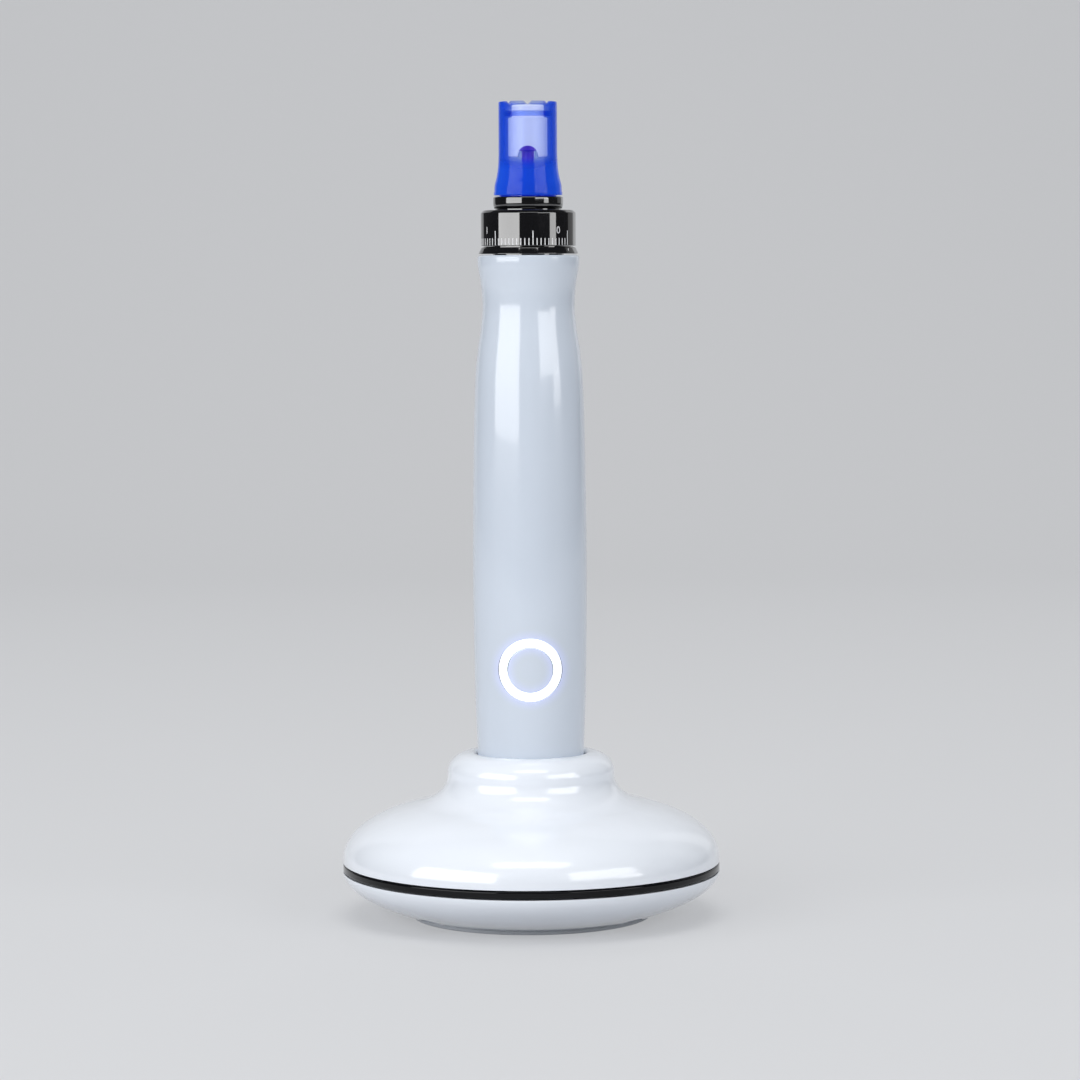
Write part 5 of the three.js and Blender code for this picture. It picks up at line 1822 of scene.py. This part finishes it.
@dataclass
class Cartridge(Assembly):
    """Clear nose with its hub, seal and needle guide."""

    SKIN_STEPS: ClassVar[int] = 28
    RIM_STEPS: ClassVar[int] = 5
    LINING_STEPS: ClassVar[int] = 20
    SEAL_STEPS: ClassVar[int] = 16
    NOSE_CREASE: ClassVar[float] = 50.0

    lip_radius: float = 8.55 * MM
    base_radius: float = 8.45 * MM
    rim_radius: float = 7.28 * MM
    wall: float = 1.1 * MM
    lip_height: float = 0.8 * MM
    lining_margin: float = 0.6 * MM
    shoulder_drop: float = 2.4 * MM
    shoulder_thickness: float = 1.2 * MM
    shoulder_bore: float = 4.27 * MM
    notch_count: int = 8
    notch_depth: float = 0.95 * MM
    notch_share: float = 0.2
    rim_band: float = 2.2 * MM
    spigot_wall: float = 1.6 * MM
    seal_groove: float = 0.8 * MM
    disc_height: float = 2.4 * MM
    disc_radius: float = 6.465 * MM
    tower_radius: float = 2.9 * MM
    stem_bore: float = 1.85 * MM
    guide_bore: float = 2.9 * MM
    guide_neck: float = 3.97 * MM
    arch_radius: float = 2.6 * MM
    flare: Curve = Curve(((0.0, 1.0), (0.062, 0.95), (0.17, 0.48), (0.28, 0.17), (0.43, 0.02), (1.0, 0.0)))

    def __post_init__(self) -> None:
        """Takes the pieces' levels from the frame."""
        self.nose = Reach.of("cartridge_nose")
        self.hub = Reach.of("cartridge_hub")
        self.guide = Reach.of("needle_guide")

    def build(self) -> None:
        """Builds and dresses the cartridge."""
        self._nose()
        self._hub()
        self._seal()
        self._guide()

    def radius_at(self, height: float) -> float:
        """Outer radius of the nose.

        Args:
            height: where on the nose.

        Returns:
            The radius there.
        """
        low = self.nose.base + self.lip_height
        share = (height - low) / (self.nose.top - low)
        return self.rim_radius + (self.base_radius - self.rim_radius) * self.flare(share)

    def _notch(self, vert: bmesh.types.BMVert) -> float:
        """How deep the rim's notch is at a point's angle, as a share of its depth."""
        phase = math.atan2(vert.co.x, -vert.co.y) * self.notch_count / FULL_TURN
        return max(0.0, 1.0 - abs(phase - round(phase)) / self.notch_share)

    def _nose_outline(self) -> Outline:
        """Draws the nose with its inner shoulder.

        Returns:
            Its half outline, before the rim is notched.
        """
        low, high = self.nose.base, self.nose.top
        side_low, rim_low = low + self.lip_height, high - self.rim_band
        inner = self.rim_radius - self.wall
        shoulder_top = high - self.shoulder_drop
        shoulder_low = shoulder_top - self.shoulder_thickness
        lining = spread(low + self.lining_margin, shoulder_low - self.lining_margin, self.LINING_STEPS)[::-1]
        return Outline(
            (self.base_radius - self.wall, low, FINE), (self.lip_radius, low, CRISP),
            (self.lip_radius, side_low, HAIR),
            *((self.radius_at(height), height) for height in spread(side_low, rim_low, self.SKIN_STEPS)),
            *((self.rim_radius, height) for height in spread(rim_low, high, self.RIM_STEPS)[1:-1]),
            (self.rim_radius, high, SOFT), (inner, high, SOFT),
            *((inner, height) for height in spread(high, shoulder_top, self.RIM_STEPS)[1:-1]),
            (inner, shoulder_top, FINE), (self.shoulder_bore, shoulder_top, FINE),
            (self.shoulder_bore, shoulder_low, FINE), (inner, shoulder_low, FINE),
            *((self.radius_at(height) - self.wall, height) for height in lining),
        )

    def _nose(self) -> None:
        """Flared clear nose with an inner shoulder and eight notches round its rim."""
        nose = turn(self._nose_outline(), Facets.WIDE)
        for vert in nose.verts:
            lift = (vert.co.z - (self.nose.top - self.rim_band)) / self.rim_band
            if lift > 0.0 and vert.co.xy.length > self.shoulder_bore + self.wall:
                vert.co.z -= self.notch_depth * self._notch(vert) * lift
        finish = self.finishes.clear_blue
        self.piece("clear_nose", nose, Body.CARTRIDGE, finish, "cartridge_nose", sharp=self.NOSE_CREASE)

    def _hub(self) -> None:
        """Plug that closes the nose: spigot, disc and a short tower round the plunger's stem."""
        low, top, spigot = self.hub.base, self.hub.top, self.hub.radius
        bore, groove = spigot - self.spigot_wall, spigot - self.seal_groove
        disc_low = self.nose.base + GAP
        disc_top = disc_low + self.disc_height
        middle = (low + disc_low) / 2
        groove_low, groove_top = middle - self.seal_groove, middle + self.seal_groove
        outline = Outline(
            (bore, low, FINE), (spigot, low, SOFT), (spigot, groove_low, HAIR), (groove, groove_low),
            (groove, groove_top), (spigot, groove_top, HAIR), (spigot, disc_low),
            (self.disc_radius, disc_low), (self.disc_radius, disc_top, SOFT),
            (self.tower_radius, disc_top, SOFT), (self.tower_radius, top, SOFT),
            (self.stem_bore, top, FINE), (self.stem_bore, disc_low), (bore, disc_low - self.spigot_wall),
        )
        plug = turn(outline, Facets.COLLAR)
        self.piece("nose_plug", plug, Body.CARTRIDGE, self.finishes.hub_blue, "cartridge_hub")

    def _seal(self) -> None:
        """Round rubber seal in the spigot's groove."""
        reach = Reach.of("cartridge_seal")
        section = (reach.top - reach.base) / 2
        centre = reach.radius - section
        outline = Outline(*(
            (centre + section * math.cos(angle), reach.centre.z + section * math.sin(angle))
            for angle in spread(0.0, FULL_TURN, self.SEAL_STEPS)[:-1]
        ))
        seal = turn(outline, Facets.COLLAR)
        self.piece("spigot_seal", seal, Body.CARTRIDGE, self.finishes.rubber, "cartridge_seal")

    def _guide(self) -> None:
        """Pale sleeve that steers the needles, with an arch through its foot."""
        low, high, outer = self.guide.base, self.guide.top, self.guide.radius
        shoulder = self.nose.top - self.shoulder_drop - self.shoulder_thickness - GAP
        outline = Outline(
            (self.guide_bore, low, FINE), (outer, low, SOFT), (outer, shoulder, SOFT),
            (self.guide_neck, shoulder, FINE), (self.guide_neck, high, SOFT), (self.guide_bore, high, FINE),
        )
        reach = outer + OVERRUN
        arch = move(cylinder(self.arch_radius, -reach, reach, Facets.SMALL), to_front(low))
        sleeve = cut(turn(outline, Facets.COLLAR), arch)
        # the sleeve's finish is a painted glow
        self.piece("needle_sleeve", sleeve, Body.CARTRIDGE, self.finishes.sleeve_painted_glow, "needle_guide")


@dataclass
class Plunger(Assembly):
    """Violet plunger that carries the needle plate."""

    stem_radius: float = 1.55 * MM
    head_height: float = 6.0 * MM
    plate_thickness: float = 1.0 * MM
    needle_radius: float = 0.2 * MM
    needle_root: float = 0.3 * MM
    point_length: float = 0.95 * MM
    rings: tuple[tuple[int, float], ...] = ((9, 1.5 * MM), (3, 0.62 * MM))

    def build(self) -> None:
        """Builds and dresses the plunger."""
        stem, plate = Reach.of("needle_plunger"), Reach.of("needle_plate")
        head_low = stem.top - self.head_height
        outline = rod(
            (self.stem_radius, stem.base, FINE), (self.stem_radius, head_low, SOFT),
            (stem.radius, head_low, SOFT), (stem.radius, stem.top, FINE),
        )
        shape = turn(outline, Facets.SMALL)
        self.piece("plunger_stem", shape, Body.PLUNGER, self.finishes.violet, "needle_plunger")
        face = plate.base + self.plate_thickness
        root = face - self.needle_root
        shapes = [turn(rod((plate.radius, plate.base, HAIR), (plate.radius, face, CRISP)), Facets.SMALL)]
        needle = Outline(
            (0, root), (self.needle_radius, root), (self.needle_radius, plate.top - self.point_length),
            (0, plate.top),
        )
        for count, circle in self.rings:
            for number in range(count):
                place = on_circle(FULL_TURN * number / count, circle)
                shapes.append(move(turn(needle, Facets.TINY), place))
        self.piece("needle_array", join(*shapes), Body.PLUNGER, self.finishes.steel, "needle_plate")


@dataclass
class Drive(Assembly):
    """Motor, cam and rod inside the handle, with the return spring."""

    SPRING_STEPS: ClassVar[int] = 128

    wire: float = 0.4 * MM
    turns: int = 4
    stroke: float = 2.0 * MM

    def build(self) -> None:
        """Builds the spring and dresses the drive."""
        self._spring()
        finishes = self.finishes
        self.dress_nodes(finishes.black_plastic, "motor_carrier", "motor_end_cap")
        self.dress_nodes(finishes.steel, "motor_can", "motor_shaft", "follower_pin", "drive_rod")
        self.dress_nodes(finishes.bronze, "rod_bush_lower", "rod_bush_upper")
        self.dress_nodes(finishes.guide_white, "drive_cam")

    def _spring(self) -> None:
        """Return spring, coiled between the ends of the frame's spring."""
        reach = Reach.of("rod_spring")
        low, high = reach.base + self.wire, reach.top - self.wire
        shares = spread(0.0, 1.0, self.SPRING_STEPS)
        places = helix(reach.radius - self.wire, low, high, FULL_TURN * self.turns, shares)
        shape = round_bar(places, self.wire, Facets.WIRE)
        spring = self.piece("return_spring", shape, Body.CARRIAGE, self.finishes.steel, "rod_spring")
        kept = 1.0 - self.stroke / (reach.top - reach.base)
        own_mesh(spring)


# The studio


@dataclass(frozen=True)
class SoftBox:
    """Area light that faces the pen's axis.

    Its azimuth is in degrees to the right of the camera's side, and it leans down by so many degrees. The
    distance is from the axis, and the height is its middle's. Where it isn't mirrored, glossy surfaces
    don't show it.
    """

    name: str
    azimuth: float
    distance: float
    size: Point
    height: float
    radiance: float
    lean: float = 0.0
    mirrored: bool = True

    def build(self) -> None:
        """Adds the light to the scene."""
        width, length = self.size
        data = bpy.data.lights.new(self.name, "AREA")
        data.shape = "RECTANGLE"
        data.size, data.size_y = width, length
        data.energy = self.radiance * math.pi * width * length
        light = bpy.data.objects.new(self.name, data)
        angle = math.radians(self.azimuth)
        place = Vector((self.distance * math.sin(angle), -self.distance * math.cos(angle), self.height))
        light.matrix_world = (
            Matrix.Translation(place)
            @ Matrix.Rotation(angle, 4, "Z")
            @ Matrix.Rotation(QUARTER_TURN - math.radians(self.lean), 4, "X")
        )
        light.visible_camera = False
        light.visible_glossy = self.mirrored
        bpy.context.scene.collection.objects.link(light)


@dataclass
class Studio:
    """Pale floor that sweeps up behind, the soft boxes, dim surroundings and the camera."""

    BEND_STEPS: ClassVar[int] = 24
    BOXES: ClassVar[tuple[SoftBox, ...]] = (
        SoftBox("left_box", -48.5, 1.0, (1.04, 0.64), 0.43, 3.9),
        SoftBox("right_box", 46.5, 1.0, (0.84, 0.54), 0.49, 3.4),
        SoftBox("right_strip", 62.0, 0.95, (0.28, 0.08), 0.182, 3.0),
        SoftBox("side_box", 133.0, 1.2, (0.9, 0.9), 0.6, 0.25),
        SoftBox("right_fill", 115.0, 1.1, (0.9, 0.9), 0.9, 0.6, lean=30.0, mirrored=False),
        SoftBox("front_top_box", 0.0, 0.75, (1.0, 0.45), 1.45, 3.2, lean=62.0),
        SoftBox("top_fill", 0.0, 0.1, (0.8, 0.8), 1.3, 2.2, lean=90.0, mirrored=False),
        SoftBox("rear_fill", 180.0, 1.1, (1.4, 0.8), 1.3, 1.5, lean=50.0, mirrored=False),
        SoftBox("left_fill", -115.0, 1.1, (0.9, 0.9), 0.9, 0.8, lean=30.0, mirrored=False),
    )

    eye: Vector = field(default_factory=lambda: Vector((2.55, -932.0, 165.0)) * MM)
    pitch: float = math.radians(-4.317)
    roll: float = math.radians(-0.28)
    lens: float = 124.33
    sensor: float = 36.0
    nearest: float = 0.01
    farthest: float = 50.0
    floor_half: float = 1.3
    floor_front: float = 0.8
    wall_place: float = 1.6
    sweep_radius: float = 0.6
    wall_height: float = 2.4
    paper: Colour = (0.52, 0.53, 0.55)
    paper_roughness: float = 0.9
    paper_specular: float = 0.1
    paper_glow: Colour = (0.86, 0.87, 0.89)
    glow_share: float = 0.42
    surroundings: Colour = (0.86, 0.88, 0.92)
    surroundings_strength: float = 0.05

    def build(self) -> None:
        """Builds the studio."""
        self._camera()
        self._sweep()
        for box in self.BOXES:
            box.build()
        self._world()

    def _camera(self) -> None:
        """Camera at the photograph's angle."""
        data = bpy.data.cameras.new("camera")
        data.lens, data.sensor_width = self.lens, self.sensor
        data.clip_start, data.clip_end = self.nearest, self.farthest
        camera = bpy.data.objects.new("camera", data)
        camera.matrix_world = (
            Matrix.Translation(self.eye)
            @ Matrix.Rotation(QUARTER_TURN + self.pitch, 4, "X")
            @ Matrix.Rotation(self.roll, 4, "Z")
        )
        bpy.context.scene.collection.objects.link(camera)
        bpy.context.scene.camera = camera

    def _sweep(self) -> None:
        """Floor and backdrop in one curved sheet."""
        line = [(-self.floor_front, 0.0), (self.wall_place - self.sweep_radius, 0.0)]
        bend = quarter(line[-1], (self.wall_place, self.sweep_radius), self.BEND_STEPS, True)
        line += [*bend[1:], (self.wall_place, self.wall_height)]
        shape = bmesh.new()
        verts = [shape.verts.new((-self.floor_half, along, up)) for along, up in line]
        edges = [shape.edges.new(pair) for pair in zip(verts, verts[1:])]
        made = bmesh.ops.extrude_edge_only(shape, edges=edges)["geom"]
        moved = [item for item in made if isinstance(item, bmesh.types.BMVert)]
        bmesh.ops.translate(shape, verts=moved, vec=(2 * self.floor_half, 0, 0))
        for face in shape.faces:
            face.smooth = True
        sweep = bare_object("studio_sweep", shape)
        sweep.data.materials.append(self._sweep_material())

    def _sweep_material(self) -> bpy.types.Material:
        """Builds the sweep's paper, which the camera and reflections see brighter than its light.

        Returns:
            The material.
        """
        sheet = Sheet("studio_paper")
        sheet.surface(
            base_color=self.paper, roughness=self.paper_roughness, specular_ior_level=self.paper_specular
        )
        seen = self._seen(sheet)
        glow = sheet.add("ShaderNodeEmission", inputs={"Color": self.paper_glow, "Strength": 1.0})
        sheet.show(sheet.mix(seen * self.glow_share, sheet.principled, glow))
        return sheet.material

    @staticmethod
    def _seen(sheet: Sheet) -> Wire:
        """Tells rays that the camera, a mirror or a clear piece sends out from others.

        Args:
            sheet: the material's node tree.

        Returns:
            One for such a ray, and zero for others.
        """
        kinds = ("Is Camera Ray", "Is Glossy Ray", "Is Transmission Ray")
        camera, glossy, passed = [sheet.add("ShaderNodeLightPath", out=kind) for kind in kinds]
        return camera + glossy + passed > 0.5

    def _world(self) -> None:
        """Even dim surroundings."""
        world = bpy.data.worlds.new("studio")
        world.use_nodes = True
        background = world.node_tree.nodes["Background"]
        background.inputs["Color"].default_value = (*self.surroundings, 1.0)
        background.inputs["Strength"].default_value = self.surroundings_strength
        bpy.context.scene.world = world


def main() -> None:
    """Builds the dressed pen, its dock and the studio."""
    logging.basicConfig(level=logging.INFO, format="%(message)s")
    bpy.context.scene.view_settings.view_transform = "Standard"
    shell, ring, button = Reach.of("handle_shell"), Reach.of("light_ring"), Reach.of("power_button")
    form = HandleForm(shell.base, shell.top, shell.radius)
    guide = Reach.of("needle_guide")
    finishes = Finishes(ring.centre.z, button.radius + Handle.ring_inset, ring.radius, guide.base)
    assemblies = (
        Dock(finishes, form), Handle(finishes, form), Button(finishes, form), Head(finishes),
        Cartridge(finishes), Plunger(finishes), Drive(finishes),
    )
    for assembly in assemblies:
        assembly.build()
        assembly.report()
    Studio().build()


if __name__ == "__main__":
    main()
